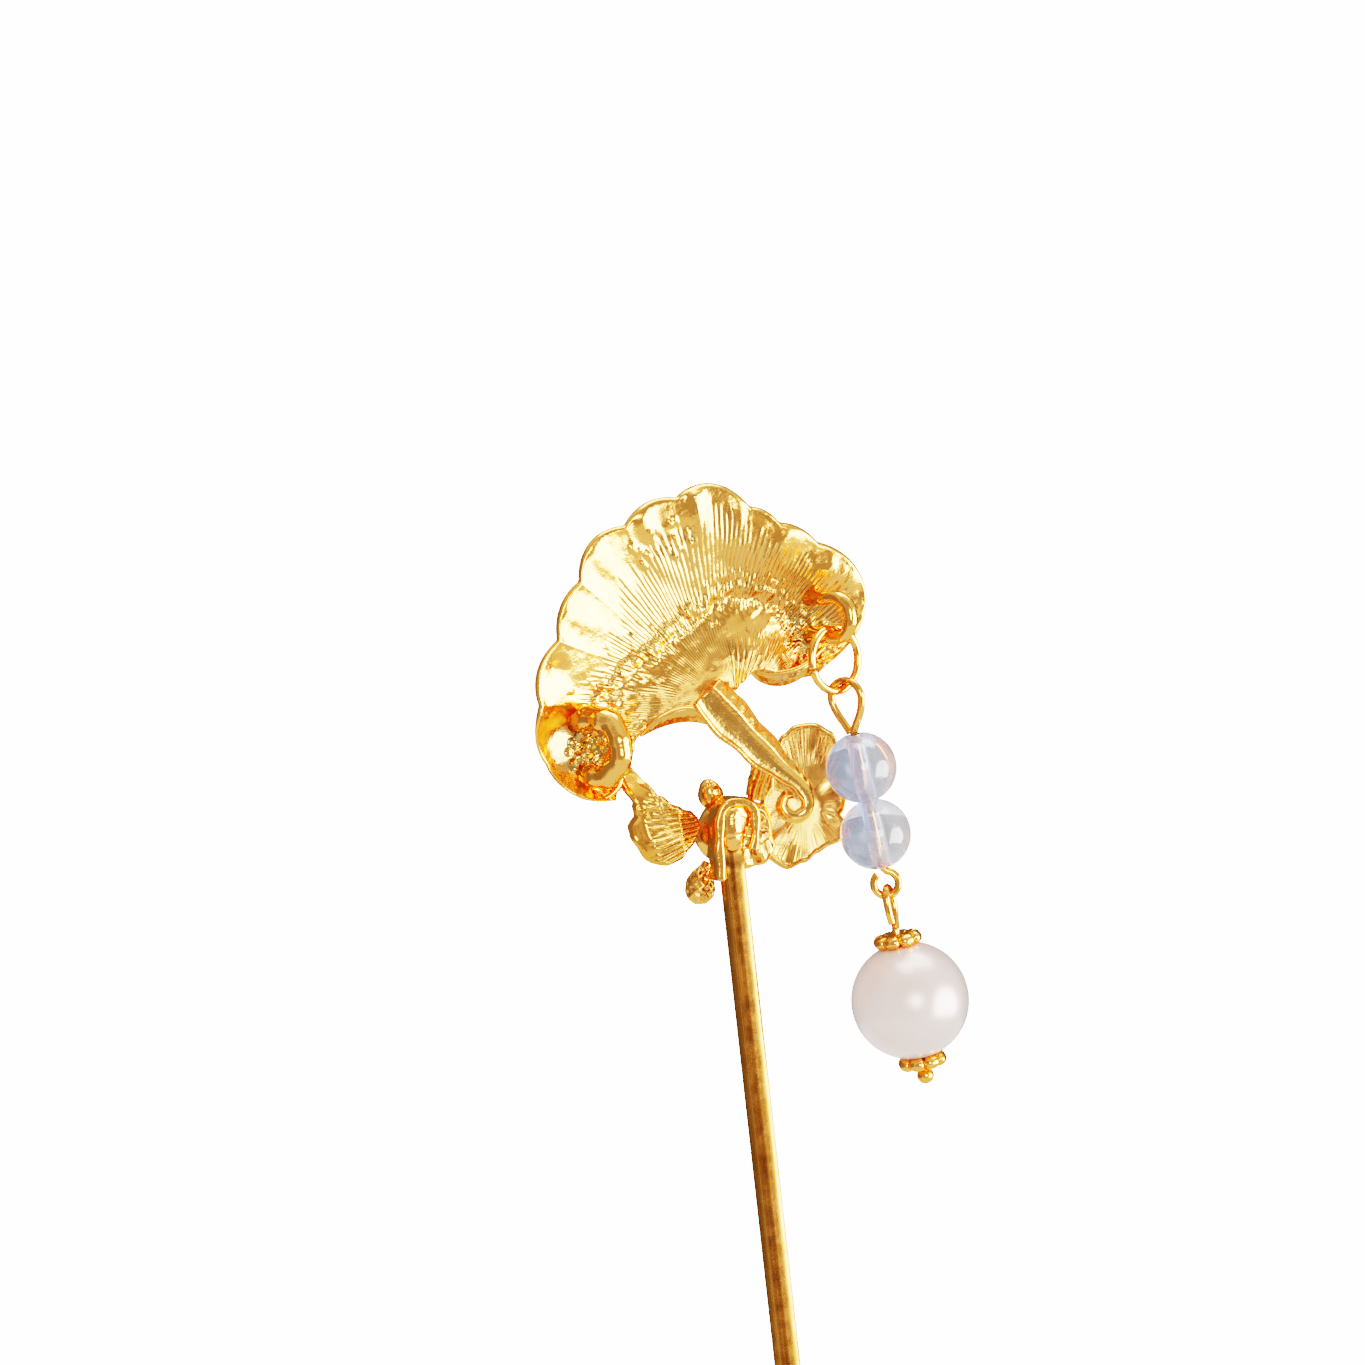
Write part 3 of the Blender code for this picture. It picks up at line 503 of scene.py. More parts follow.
def noise_value(paint, scale, detail=3.0, stretch=(1.0, 1.0, 1.0)):
    """Noise in the object's own space; `scale` is in features per millimetre."""
    place = add_node(paint, "ShaderNodeTexCoord").outputs["Object"]
    mapping = add_node(paint, "ShaderNodeMapping", {"Vector": place, "Scale": stretch})
    noise = add_node(paint, "ShaderNodeTexNoise", {
        "Vector": mapping.outputs["Vector"], "Scale": scale / MM, "Detail": detail})
    return noise.outputs["Fac"]


def ranged(paint, value, low, high, start=0.3, stop=0.7):
    """A value from start..stop spread over low..high."""
    spread = add_node(paint, "ShaderNodeMapRange", {
        "Value": value, "From Min": start, "From Max": stop, "To Min": low, "To Max": high})
    return spread.outputs["Result"]


def blended(paint, share, low, high):
    """Colour mix; `low` and `high` are colours or sockets."""
    mix = add_node(paint, "ShaderNodeMix", {"Factor": share}, data_type="RGBA")
    for key, colour in (("A", low), ("B", high)):
        place = [i for i, s in enumerate(mix.inputs) if s.name == key and s.type == "RGBA"][0]
        set_inputs(paint, mix, {place: (*colour, 1.0) if isinstance(colour, tuple) else colour})
    return [s for s in mix.outputs if s.type == "RGBA"][0]


def bumped(paint, shader, height, depth):
    """Fine relief of the surface, `depth` in millimetres."""
    bump = add_node(paint, "ShaderNodeBump", {
        "Distance": depth * MM, "Strength": 1.0, "Height": height})
    set_inputs(paint, shader, {"Normal": bump.outputs["Normal"]})


# Golds: pale, warm, and the deep colour that painted shade darkens toward in grooves, creases and hollows;
# the shank's deep colour also paints its dark reflection bands.
PAINTED_SHADE_GOLD = (0.46, 0.28, 0.085)
LEAF_GOLDS = ((1.0, 0.41, 0.10), (0.96, 0.355, 0.07), PAINTED_SHADE_GOLD)
FAN_GOLDS = ((0.95, 0.35, 0.07), (0.85, 0.28, 0.045), PAINTED_SHADE_GOLD)
PETAL_GOLDS = ((0.90, 0.36, 0.085), (0.78, 0.29, 0.055), PAINTED_SHADE_GOLD)
SHANK_GOLDS = ((0.64, 0.25, 0.06), (0.50, 0.185, 0.035), (0.13, 0.035, 0.004))
GLANCING_GOLD = (1.0, 0.72, 0.42, 1.0)
# Opal: painted shade makes the bead's -X side bluish and darker, painted light makes its +X side pale,
# blended over a few millimetres either side of its centre; the blue is partly the glass's own tint.
OPAL_SHADED_BLUE = (0.52, 0.62, 0.85)
OPAL_LIT_PALE = (1.0, 0.97, 0.95)
OPAL_LIGHT_BLEND = 1.8
PEARL_ROSE = (0.82, 0.60, 0.51)
PEARL_CREAM = (0.87, 0.70, 0.64)


def gilt(name, roughness=(0.10, 0.22), grain=0.03, grain_scale=2.4, stretch=(1.0, 1.0, 1.0),
         golds=LEAF_GOLDS):
    """Gilt casting: warm gold darkened toward its deep colour by painted shade in grooves and hollows, with
    uneven polish and fine grain.
    """
    pale, warm, deep = golds
    paint, shader = new_material(name, 1.0, roughness[0])
    base = blended(paint, ranged(paint, noise_value(paint, 0.35), 0.0, 1.0), pale, warm)
    # Painted shade per point, set by finish_piece, mixes the gold toward its deep colour.
    painted_shade = add_node(paint, "ShaderNodeAttribute", attribute_name="painted_shade").outputs["Fac"]
    set_inputs(paint, shader, {
        "Base Color": blended(paint, painted_shade, base, deep),
        "Roughness": ranged(paint, noise_value(paint, 0.9, 4.0), *roughness),
        "Specular Tint": GLANCING_GOLD,
    })
    bumped(paint, shader, noise_value(paint, grain_scale, 3.0, stretch), grain)
    return paint


def opal_glass(name, middle):
    """Milky glass with faint clouds inside; painted shade makes its -X side bluish and painted light makes
    its +X side pale.
    """
    paint, shader = new_material(name, 0.0, 0.04)
    cloud = ranged(paint, noise_value(paint, 0.22, 2.0), -0.3, 0.3)
    # Painted light and shade: pale toward +X, bluish toward -X, across the bead's centre.
    place = add_node(paint, "ShaderNodeTexCoord").outputs["Object"]
    sideways = add_node(paint, "ShaderNodeSeparateXYZ", {"Vector": place}).outputs["X"]
    side = ranged(paint, sideways, 0.0, 1.0, (middle - OPAL_LIGHT_BLEND) * MM, (middle + OPAL_LIGHT_BLEND) * MM)
    total = add_node(paint, "ShaderNodeMath", {0: cloud, 1: side}, operation="ADD", use_clamp=True)
    set_inputs(paint, shader, {
        "Base Color": blended(paint, total.outputs["Value"], OPAL_SHADED_BLUE, OPAL_LIT_PALE),
        "IOR": 1.36,
        "Transmission Weight": ranged(paint, noise_value(paint, 0.3, 2.0), 0.85, 0.62),
        "Coat Weight": 0.5,
        "Coat Roughness": 0.03,
    })
    return paint


def nacre(name):
    """Creamy pink pearl coat: soft body colour with a glossy skin."""
    paint, shader = new_material(name, 0.12, 0.30)
    cloud = ranged(paint, noise_value(paint, 0.16, 3.0), 0.0, 1.0)
    set_inputs(paint, shader, {
        "Base Color": blended(paint, cloud, PEARL_ROSE, PEARL_CREAM),
        "Coat Weight": 1.0,
        "Coat Roughness": 0.27,
    })
    bumped(paint, shader, noise_value(paint, 0.5, 2.0), 0.01)
    return paint


# ---- lotus leaf ----

def leaf_outer(angle):
    notch, radius, bulge = np.array(SCALLOPS, float).T
    index = np.clip(np.searchsorted(notch, angle, side="right") - 1, 0, len(notch) - 2)
    share = np.clip((angle - notch[index]) / (notch[index + 1] - notch[index]), 0.0, 1.0)
    return radius[index] + (radius[index + 1] - radius[index]) * share + bulge[index] * np.sin(
        math.pi * share) ** 0.8


def leaf_middle(angle, radius, x, z):
    """Depth of the leaf's mid surface: up from the neck, down to the valley, out to the rim."""
    inner = eased(INNER_EDGE, angle)
    outer = leaf_outer(angle)
    bottom = np.minimum(np.maximum(eased(VALLEY, angle), inner + 0.6), outer - 0.8)
    inside = np.clip((radius - NECK_RADIUS) / (bottom - NECK_RADIUS), 0.0, 1.0)
    slope = NECK_DEPTH + (VALLEY_DEPTH - NECK_DEPTH) * (0.5 - 0.5 * np.cos(math.pi * inside))
    outside = np.clip((radius - bottom) / (outer - bottom), 0.0, 1.0)
    steady = ramp(85.0, 125.0, angle)
    outside = (1.0 - steady) * np.sin(0.5 * math.pi * outside) + steady * outside ** 1.15
    cup = VALLEY_DEPTH + (eased(RIM_DEPTH, angle) - VALLEY_DEPTH) * outside
    right = bell(away_from(RIGHT_HOLLOW, x, z), RIGHT_HOLLOW[2])
    left = bell(away_from(LEFT_HOLLOW, x, z) ** 2, LEFT_HOLLOW[2] ** 2)
    return np.where(radius < bottom, slope, cup) + RIGHT_HOLLOW[3] * right + LEFT_HOLLOW[3] * left


def veins(angle, radius, bottom, outer):
    """Radial veins of the outer band: (height, painted shade between the veins)."""
    draw = np.random.default_rng(11)
    whole = SCALLOPS[-1][0] - SCALLOPS[0][0]
    place = (angle - SCALLOPS[0][0]) / whole * VEIN_COUNT
    place = place + 0.35 * np.sin(angle * 0.21 + 1.0) + 0.06 * np.sin(radius * 1.7 + angle * 0.6)
    index = np.clip(np.round(place).astype(int) + 2, 0, VEIN_COUNT + 4)
    weight = draw.uniform(0.5, 1.0, VEIN_COUNT + 5)[index]
    end = draw.uniform(-0.16, 0.08, VEIN_COUNT + 5)[index]
    begin = draw.uniform(-0.5, 0.6, VEIN_COUNT + 5)[index]
    share = (radius - bottom) / (outer - bottom)
    reach = eased(VEIN_REACH, angle) + end
    envelope = ramp(reach + 0.06, reach - 0.10, share) * ramp(-0.4, 0.6, radius - bottom - begin)
    wave = 0.5 + 0.5 * np.cos(TAU * place)
    height = VEIN_HEIGHT * weight * envelope * wave ** 1.3
    return height, envelope * (1.0 - wave)


def inner_flutes(angle, radius, bottom):
    """Fine flutes between the neck and the valley, bold beside the neck; returns (height, painted shade
    between the flutes).
    """
    place = angle / 2.2 + 0.3 * np.sin(radius * 1.1 + angle * 0.05)
    wave = 0.5 + 0.5 * np.cos(TAU * place)
    near = ramp(7.6, 5.6, radius + 0.8 * np.sin(0.09 * angle + 1.0) - 2.6 * ramp(150.0, 175.0, angle))
    fine = 0.045 * near * ramp(0.3, -0.8, radius - bottom) * ramp(2.0, 3.2, radius)
    fold = 0.5 + 0.5 * np.cos(TAU * angle / 6.2)
    bold = 0.13 * ramp(6.2, 4.6, radius) * ramp(96.0, 84.0, angle)
    height = fine * wave + bold * fold
    painted_shade = 0.7 * ramp(0.0, 0.04, fine) * (1.0 - wave) + ramp(0.0, 0.13, bold) * (1.0 - fold)
    return height, np.clip(painted_shade, 0.0, 1.0)


def hem(knots, swing):
    """Turned-under edge: a lip with a face that falls away from it and back; the face gets painted shade,
    which leaves the lip bright.
    """
    lip = smooth_path(knots, 16)
    share = np.linspace(0.0, 1.0, len(lip))[:, None]
    fall = np.sin(math.pi * share) ** 0.7
    across_hem = np.linspace(0.0, 1.0, 14)[None, :]
    drop = swing * fall * across_hem
    bulge = 0.20 * np.sin(math.pi * across_hem)
    x = lip[:, :1] + 0.15 * drop
    y = lip[:, 1:2] + (0.9 * across_hem - bulge) * fall
    z = lip[:, 2:] - drop
    front = grid(x, y + 0.025 * waviness(x, z, 0.8, 33), z)
    face = shell(front, grid(x, y + 0.32, z + 0.02))
    sizes = 0.17 + 0.05 * np.sin(math.pi * share[:, 0])
    lip_bar = sweep(lip, sizes, (0.0, 1.0, 0.0), 16)
    # Painted shade on the turned-under face, none on the lip.
    shade = np.concatenate((np.full(len(face[0]), 0.35), np.zeros(len(lip_bar[0]))))
    return merged((face, lip_bar)), shade


def leaf_relief(angle, radius, x, z, outer, bottom):
    """Folds, hammering, mottle, seam creases and grains that raise the leaf's front."""
    outward = radius - bottom
    folds = np.zeros(x.shape)
    for place, rise, width in LEAF_FOLDS:
        folds += rise * bell(span(angle - place, radius), width)
    folds *= ramp(0.30, 0.75, outward / (outer - bottom))
    for dent_x, dent_z, depth, width in LEAF_DENTS:
        folds -= depth * bell(away_from((dent_x, dent_z), x, z), width)
    grain = grains(x, z, [spot for row in LEAF_GRAINS for spot in polar_spots(*row)])
    hammer = (0.05 - 0.03 * ramp(105.0, 130.0, angle)) * waviness(x, z, 3.2, 21)
    hammer = hammer + 0.012 * waviness(x, z, 1.3, 22)
    rough_valley = 0.05 * waviness(x, z, 0.55, 23) * ramp(2.2, 0.6, np.abs(outward - 0.4))
    within = ramp(0.2, -0.6, outward) * ramp(2.6, 4.2, radius)
    mottle = within * (0.05 * waviness(x, z, 1.9, 27) + 0.018 * waviness(x, z, 0.6, 28))
    arc = 0.24 * bell(outward - 0.35 - 0.25 * waviness(x, z, 1.6, 29), 0.45)
    arc = arc * ramp(52.0, 66.0, angle) * ramp(185.0, 165.0, angle)
    return folds + grain + hammer + rough_valley + mottle + arc


def build_leaf():
    first = SCALLOPS[0][0]
    last = SCALLOPS[-1][0]
    angle = np.linspace(first, last, LEAF_COLUMNS)[:, None]
    row = np.linspace(0.0, 1.0, LEAF_ROWS)[None, :]
    share = 0.72 * row + 0.28 * (0.5 - 0.5 * np.cos(math.pi * row))
    soft = np.hanning(9)
    outer = np.pad(leaf_outer(angle)[:, 0], 4, mode="edge")
    outer = np.convolve(outer, soft / soft.sum(), mode="valid")[:, None]
    inner = eased(INNER_EDGE, angle)
    radius = inner + (outer - inner) * share
    angle = np.broadcast_to(angle, radius.shape)
    turn = np.radians(angle)
    x = HEART[0] + radius * np.cos(turn)
    z = HEART[1] + radius * np.sin(turn)
    middle = leaf_middle(angle, radius, x, z)

    ends = span(np.minimum(angle - first, last - angle), radius)
    edge = np.minimum(np.minimum(outer - radius, radius - inner), ends)
    bottom = eased(VALLEY, angle)
    fade = ramp(0.25, 0.8, edge)
    vein, vein_painted_shade = veins(angle, radius, bottom, outer)
    flute, flute_painted_shade = inner_flutes(angle, radius, bottom)
    notch = np.array([row[0] for row in SCALLOPS[3:-1]])
    gap = span(np.abs(angle[..., None] - notch).min(axis=-1), radius)
    crease = 0.07 * bell(gap, 0.8) * ramp(0.55, 0.95, share)
    relief = vein + flute - crease + leaf_relief(angle, radius, x, z, outer, bottom)

    half = 0.5 * LEAF_THICKNESS * np.maximum(rounded(edge, 0.42), 0.03)
    front = grid(x, middle - half - fade * relief - 0.015 * bell(edge - 0.32, 0.2), z)
    behind = fade * (0.08 * waviness(x, z, 4.0, 24) + 0.03 * waviness(x, z, 1.1, 25) - crease)
    back = grid(x, middle + half + behind, z)
    # Painted shade: darker between the veins and flutes, along the valley and in both hollows; below, the
    # leaf's back gets an even light painted shade.
    left_hollow_shade = ramp(3.2, 1.6, away_from((LEFT_HOLLOW[0] + 1.3, LEFT_HOLLOW[1]), x, z))
    right_hollow_shade = 0.6 * ramp(3.0, 1.4, away_from(RIGHT_HOLLOW, x, z))
    seam = 0.3 * ramp(1.6, 0.2, np.abs(radius - bottom))
    painted_shade = 0.75 * vein_painted_shade + 0.7 * flute_painted_shade + seam + left_hollow_shade + right_hollow_shade
    painted_shade = fade * np.clip(painted_shade, 0.0, 1.0)
    hems = [hem(knots, swing) for knots, swing in HEMS]
    points, faces = merged([shell(front, back)] + [body for body, _ in hems])
    shade = np.concatenate([painted_shade.ravel(), np.full(painted_shade.size, 0.15)] + [dark for _, dark in hems])
    finish_piece("leaf_blade", points, faces, gilt("leaf_gilt"), ["lotus_leaf"], shade)


def build_lug(side):
    """Thick cast staple with flared feet that reach back to the leaf."""
    centre, bend, wire, ground, lumps = LUGS[side]
    facing = Vector((*LUG_FACING, 0.0)).normalized()
    arc = []
    for step in range(41):
        turn = math.radians(-110.0 + 5.5 * step)
        outward = facing * math.cos(turn) + Vector((0.0, 0.0, math.sin(turn)))
        arc.append(Vector(centre) + outward * bend)
    feet = []
    for tip in (arc[0], arc[-1]):
        foot = Vector((tip.x - 0.25, ground, tip.z))
        feet.append([foot.lerp(tip, share / 8.0) for share in range(8)])
    path = np.array(feet[0] + arc + feet[1][::-1])
    count = len(path)
    near = np.minimum(np.arange(count), count - 1 - np.arange(count))
    swell = 1.0 + 0.55 * bell(near, 3.5) + 0.06 * np.sin(np.linspace(0.0, math.pi, count))

    def relief(run, around):
        return lumps * waviness(run, 0.6 * around, 1.6, 31)

    points, faces = sweep(path, 0.5 * wire * swell, (0.0, 0.0, 1.0), 28, relief)
    finish_piece("lug_staple_" + side, points, faces, gilt("lug_gilt_" + side, (0.07, 0.16)),
                 ["leaf_lug_" + side])


# ---- stalk, limb and hub ----

# Across the stalk: share of the half width, depth behind the front face.
STALK_SECTION = (
    (-1.0, 0.30), (-1.02, 0.12), (-0.97, -0.03), (-0.90, -0.06), (-0.83, -0.02), (-0.74, 0.12),
    (-0.55, 0.20), (-0.30, 0.22), (-0.05, 0.18), (0.15, 0.10), (0.28, 0.02), (0.36, -0.02), (0.44, 0.02),
    (0.60, 0.18), (0.78, 0.36), (0.94, 0.54), (1.0, 0.66), (0.94, 0.78), (0.6, 0.84), (0.2, 0.88),
    (-0.2, 0.88), (-0.6, 0.84), (-0.9, 0.66), (-0.98, 0.48),
)


def build_stalk():
    """Ribbon with a raised lip along its left edge and a bright bevel down its right."""
    knots = smooth_path(STALK, 22)
    path = grid(knots[:, 0], STALK_DEPTH, knots[:, 1])
    ahead = np.gradient(path, axis=0)
    ahead /= np.linalg.norm(ahead, axis=1)[:, None]
    side = np.cross(ahead, (0.0, 1.0, 0.0))
    section = np.array(STALK_SECTION)
    fine = np.linspace(0.0, len(section), 4 * len(section), endpoint=False)
    closed = np.concatenate((section, section[:1]))
    shares = np.interp(fine, np.arange(len(closed)), closed[:, 0])
    depths = np.interp(fine, np.arange(len(closed)), closed[:, 1])
    run = np.linspace(0.0, 1.0, len(path))[:, None]
    wave = 1.0 + 0.05 * np.sin(run * 34.0) + 0.04 * np.sin(run * 61.0 + 1.0)
    width = knots[:, 2:] * wave
    scroll = ramp(0.50, 0.62, run)
    loops = path[:, None] + side[:, None] * (shares * width)[..., None]
    loops[..., 1] += depths * (1.0 - 0.25 * scroll) + 0.35 * scroll * run
    bevel = ramp(0.4, 0.9, shares) * (depths < 0.7)
    loops[..., 1] += 0.05 * bevel * np.sin(run * 150.0 + 3.0 * shares)
    points, faces = tube(loops)
    # Painted shade on the recessed face beside the raised lip and round the back of the ribbon's left half.
    painted_shade = np.tile(0.45 * ramp(0.05, 0.2, depths) * (shares < 0.3), len(path))
    shade = np.concatenate((painted_shade, [0.0, 0.0]))
    finish_piece("stalk_ribbon", points, faces, gilt("stalk_gilt"), ["leaf_stalk"], shade)


def build_limb():
    knots = smooth_path(LIMB, 18)
    columns = 72

    def fibre(run, around):
        return np.cos(around * 9.0 + 0.9 * np.sin(run * 1.4))

    def relief(run, around):
        return 0.085 * fibre(run, around) + 0.03 * waviness(run, around, 0.7, 41)

    points, faces = sweep(knots[:, :3], knots[:, 3] * 0.98, (1.0, 0.0, 0.0), columns, relief)
    # Painted shade in the troughs between the fibres.
    run = np.linspace(0.0, 4.2, len(knots))[:, None]
    painted_shade = 0.5 - 0.5 * fibre(run, turns(columns))
    shade = np.concatenate((painted_shade.ravel(), [0.0, 0.0]))
    finish_piece("limb_fibres", points, faces, gilt("limb_gilt"), ["stalk_limb"], shade)


def build_plate(name, centre, outline, thickness, depth, relief, paint, replaced, spokes=360, rings=60,
                edge_width=0.35, bead=0.08):
    """Star-shaped casting in XZ: `depth(x, z, share)` places it, `relief(x, z)` raises its front and gives
    its painted shade.
    """
    table = sorted((angle % 360.0, reach) for angle, reach in outline)
    table = [(table[-1][0] - 360.0, table[-1][1])] + table + [(table[0][0] + 360.0, table[0][1])]
    angle = np.arange(spokes) * 360.0 / spokes
    reach = eased(table, angle)
    row = np.linspace(0.0, 1.0, rings + 1)[1:]
    share = (0.7 * row + 0.3 * np.sin(0.5 * math.pi * row))[:, None]
    turn = np.radians(angle)[None, :]
    x = centre[0] + share * reach * np.cos(turn)
    z = centre[1] + share * reach * np.sin(turn)
    edge = (1.0 - share) * reach
    half = 0.5 * thickness * np.maximum(rounded(edge, edge_width), 0.04)
    rise, painted_shade = relief(x, z)
    fade = ramp(0.1, 0.5, edge)
    rim = bead * bell(edge - 0.28, 0.16)
    middle = depth(x, z, share)
    front = grid(x, middle - half - fade * rise - rim, z)
    back = grid(x, middle + half + fade * 0.05 * waviness(x, z, 1.5, 51), z)
    spot = [np.array([[value]]) for value in (*centre, 0.0)]
    mid = depth(*spot)[0, 0]
    raised = relief(*spot[:2])[0][0, 0]
    fronts = (np.array((centre[0], mid - thickness / 2.0 - raised, centre[1])), front)
    backs = (np.array((centre[0], mid + thickness / 2.0, centre[1])), back)
    points, faces = disc(fronts, backs)
    # Painted shade: the relief's troughs and creases on the front, an even light painted shade on the back.
    shade = np.concatenate(([0.0], (fade * painted_shade).ravel(), [0.0], np.full(painted_shade.size, 0.1)))
    finish_piece(name, points, faces, paint, replaced, shade)


def build_hub():
    def depth(x, z, share):
        return 2.5 + 0.3 * share ** 3

    spots = polar_spots(61, 12, (-70.0, 70.0), (1.2, 2.6), (0.3, 0.6), HUB_CENTRE)

    def relief(x, z):
        folds = 0.16 * np.cos(3.4 * (x + 0.25 * z)) * ramp(1.6, 2.4, x)
        ridge = 0.35 * bell(x + 1.15 - 0.16 * (z - 3.6), 0.28)
        rise = folds + ridge + grains(x, z, spots) * ramp(2.0, 2.6, x) + 0.05 * waviness(x, z, 1.8, 62)
        # Painted shade in the troughs of the folds.
        return rise, 0.35 * ramp(0.1, -0.1, folds)

    build_plate("hub_casting", HUB_CENTRE, HUB_OUTLINE, 1.8, depth, relief, gilt("hub_gilt", (0.10, 0.2)),
                ["stem_hub"], 300, 44, edge_width=0.6, bead=0.0)


def build_small_leaf():
    """Fan of a dozen ribs, its far end rolled back, on a twig from the big leaf."""
    def depth(x, z, share):
        root = np.clip((x + 4.0) / 2.2, 0.0, 1.0)
        twig = np.clip((z - 7.0) / 3.0, 0.0, 1.0)
        roll = 0.9 * ramp(-6.7, -8.3, x + 0.25 * (z - 5.0))
        return 0.55 + 1.06 * root + 1.6 * twig + 0.18 * np.sin(1.3 * z) + roll

    def relief(x, z):
        swing = np.degrees(np.arctan2(z - 5.3, 3.4 - x))
        place = swing / 3.35 + 0.12 * np.sin(1.9 * x)
        wave = 0.5 + 0.5 * np.cos(TAU * place)
        reach = ramp(-6.9, -6.0, x + 0.35 * np.sin(place * 2.3))
        rise = 0.15 * wave * reach + 0.03 * waviness(x, z, 1.6, 71)
        # Painted shade in the troughs between the ribs.
        return rise, 0.8 * reach * (1.0 - wave)

    build_plate("small_leaf_fan", SMALL_LEAF_CENTRE, SMALL_LEAF_OUTLINE, 0.75, depth, relief,
                gilt("small_leaf_gilt", golds=FAN_GOLDS), ["small_leaf"])


def build_blossom():
    """Side blossom of brushed petals parted by soft creases."""
    def depth(x, z, share):
        away = np.clip((x - 4.4) / 2.0, 0.0, 1.0)
        return 4.0 + 0.38 * away - 0.45 * away * share ** 2

    def relief(x, z):
        turn = np.degrees(np.arctan2(z - BLOSSOM_CENTRE[1], x - BLOSSOM_CENTRE[0]))
        reach = away_from(BLOSSOM_CENTRE, x, z)
        crease = np.zeros(x.shape)
        for notch in PETAL_PARTINGS:
            away = span(np.abs((turn - notch + 180.0) % 360.0 - 180.0), reach)
            crease += 0.30 * bell(away, 0.7) * ramp(1.0, 3.5, reach)
        brushed = 0.012 * waviness(turn * 0.5, reach * 0.12, 0.9, 81, 16) * ramp(1.0, 3.0, reach)
        rise = brushed - crease + 0.05 * waviness(x, z, 3.4, 82)
        # Painted shade in the creases between the petals.
        return rise, np.clip(crease * 2.0, 0.0, 0.6)

    paint = gilt("blossom_gilt", (0.10, 0.20), 0.012, 2.0, (0.3, 1.0, 2.5), PETAL_GOLDS)
    build_plate("blossom_petals", BLOSSOM_CENTRE, BLOSSOM_OUTLINE, 0.75, depth, relief, paint,
                ["side_blossom"])


def build_pod():
    """Seed pod wrapped in two crossing sets of ribs."""
    knots = smooth_path(POD, 18)
    columns = 84

    def weave(run, around):
        first = np.cos(around * 7.0 + run * 7.5 + 0.5 * np.sin(run * 3.0))
        second = np.cos(around * 7.0 - run * 6.5 + 1.0)
        return np.maximum(first, second)

    def relief(run, around):
        return 0.075 * weave(run, around) * ramp(0.1, 0.7, run) - 0.04

    points, faces = sweep(knots[:, :3], knots[:, 3] * 0.97, (1.0, 0.0, 0.0), columns, relief)
    # Painted shade in the troughs between the ribs.
    painted_shade = 0.5 - 0.5 * weave(length_along(knots[:, :3])[:, None], turns(columns))
    shade = np.concatenate((0.9 * painted_shade.ravel(), [0.0, 0.0]))
    finish_piece("pod_mesh", points, faces, gilt("pod_gilt"), ["seed_pod"], shade)


def build_bud():
    knots = smooth_path(BUD, 14)

    def relief(run, around):
        return 0.05 * np.cos(3.0 * around) * ramp(0.2, 1.0, run) + 0.03 * waviness(run, around, 0.9, 91)

    points, faces = sweep(knots[:, :3], knots[:, 3], (1.0, 0.0, 0.0), 40, relief)
    finish_piece("bud_tip", points, faces, gilt("bud_gilt", (0.08, 0.18)), ["top_bud"])


# ---- shank, socket and solder ----

def squareness(turn, power):
    """Reach of a round-cornered square of half width 1, softer for a lower power."""
    return (np.abs(np.cos(turn)) ** power + np.abs(np.sin(turn)) ** power) ** (-1.0 / power)


def build_shank():
    """Square bar, brushed lengthwise, drawn down to a blunt tip, with painted reflection bands down its
    front.
    """
    low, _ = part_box("shank")
    bottom = low.z / MM
    heights = SHANK_TAPER * np.linspace(0.0, 1.0, 30) ** 1.5
    heights = np.concatenate((bottom + heights, np.linspace(bottom + SHANK_TAPER, SHANK_TOP, 60)[1:]))
    places, widths = np.array(SHANK_TIP).T
    size = np.interp((heights - bottom) / SHANK_TAPER, places, widths)[:, None]
    turn = turns(96)
    reach = squareness(turn, SHANK_SQUARENESS)
    side = reach * np.cos(turn)
    deep = reach * np.sin(turn)
    streak = 1.0 + 0.004 * np.sin(turn * 5.0 + 1.0) + 0.002 * np.sin(turn * 13.0)
    half = 0.5 * SHANK_WIDTH * streak * size
    points, faces = tube(grid(side * half, deep * half, heights[:, None]))
    # Painted reflections on the front face: a dark band left of centre split by a lighter line, and a
    # darker right edge; the back and the ends get even painted shade.
    painted_bands = 0.85 * ramp(-0.86, -0.68, side) * ramp(0.02, -0.14, side)
    painted_bands = painted_bands - 0.25 * bell(side + 0.48, 0.07) + 0.25 * ramp(0.55, 0.80, side)
    painted_bands = np.clip(np.where(deep < 0.0, painted_bands, 0.3), 0.0, 1.0)
    shade = np.concatenate((np.tile(painted_bands, len(heights)), [0.5, 0.5]))
    paint = gilt("shank_gilt", (0.20, 0.32), 0.004, 2.2, (1.0, 1.0, 0.02), SHANK_GOLDS)
    finish_piece("shank_bar", points, faces, paint, ["shank"], shade)


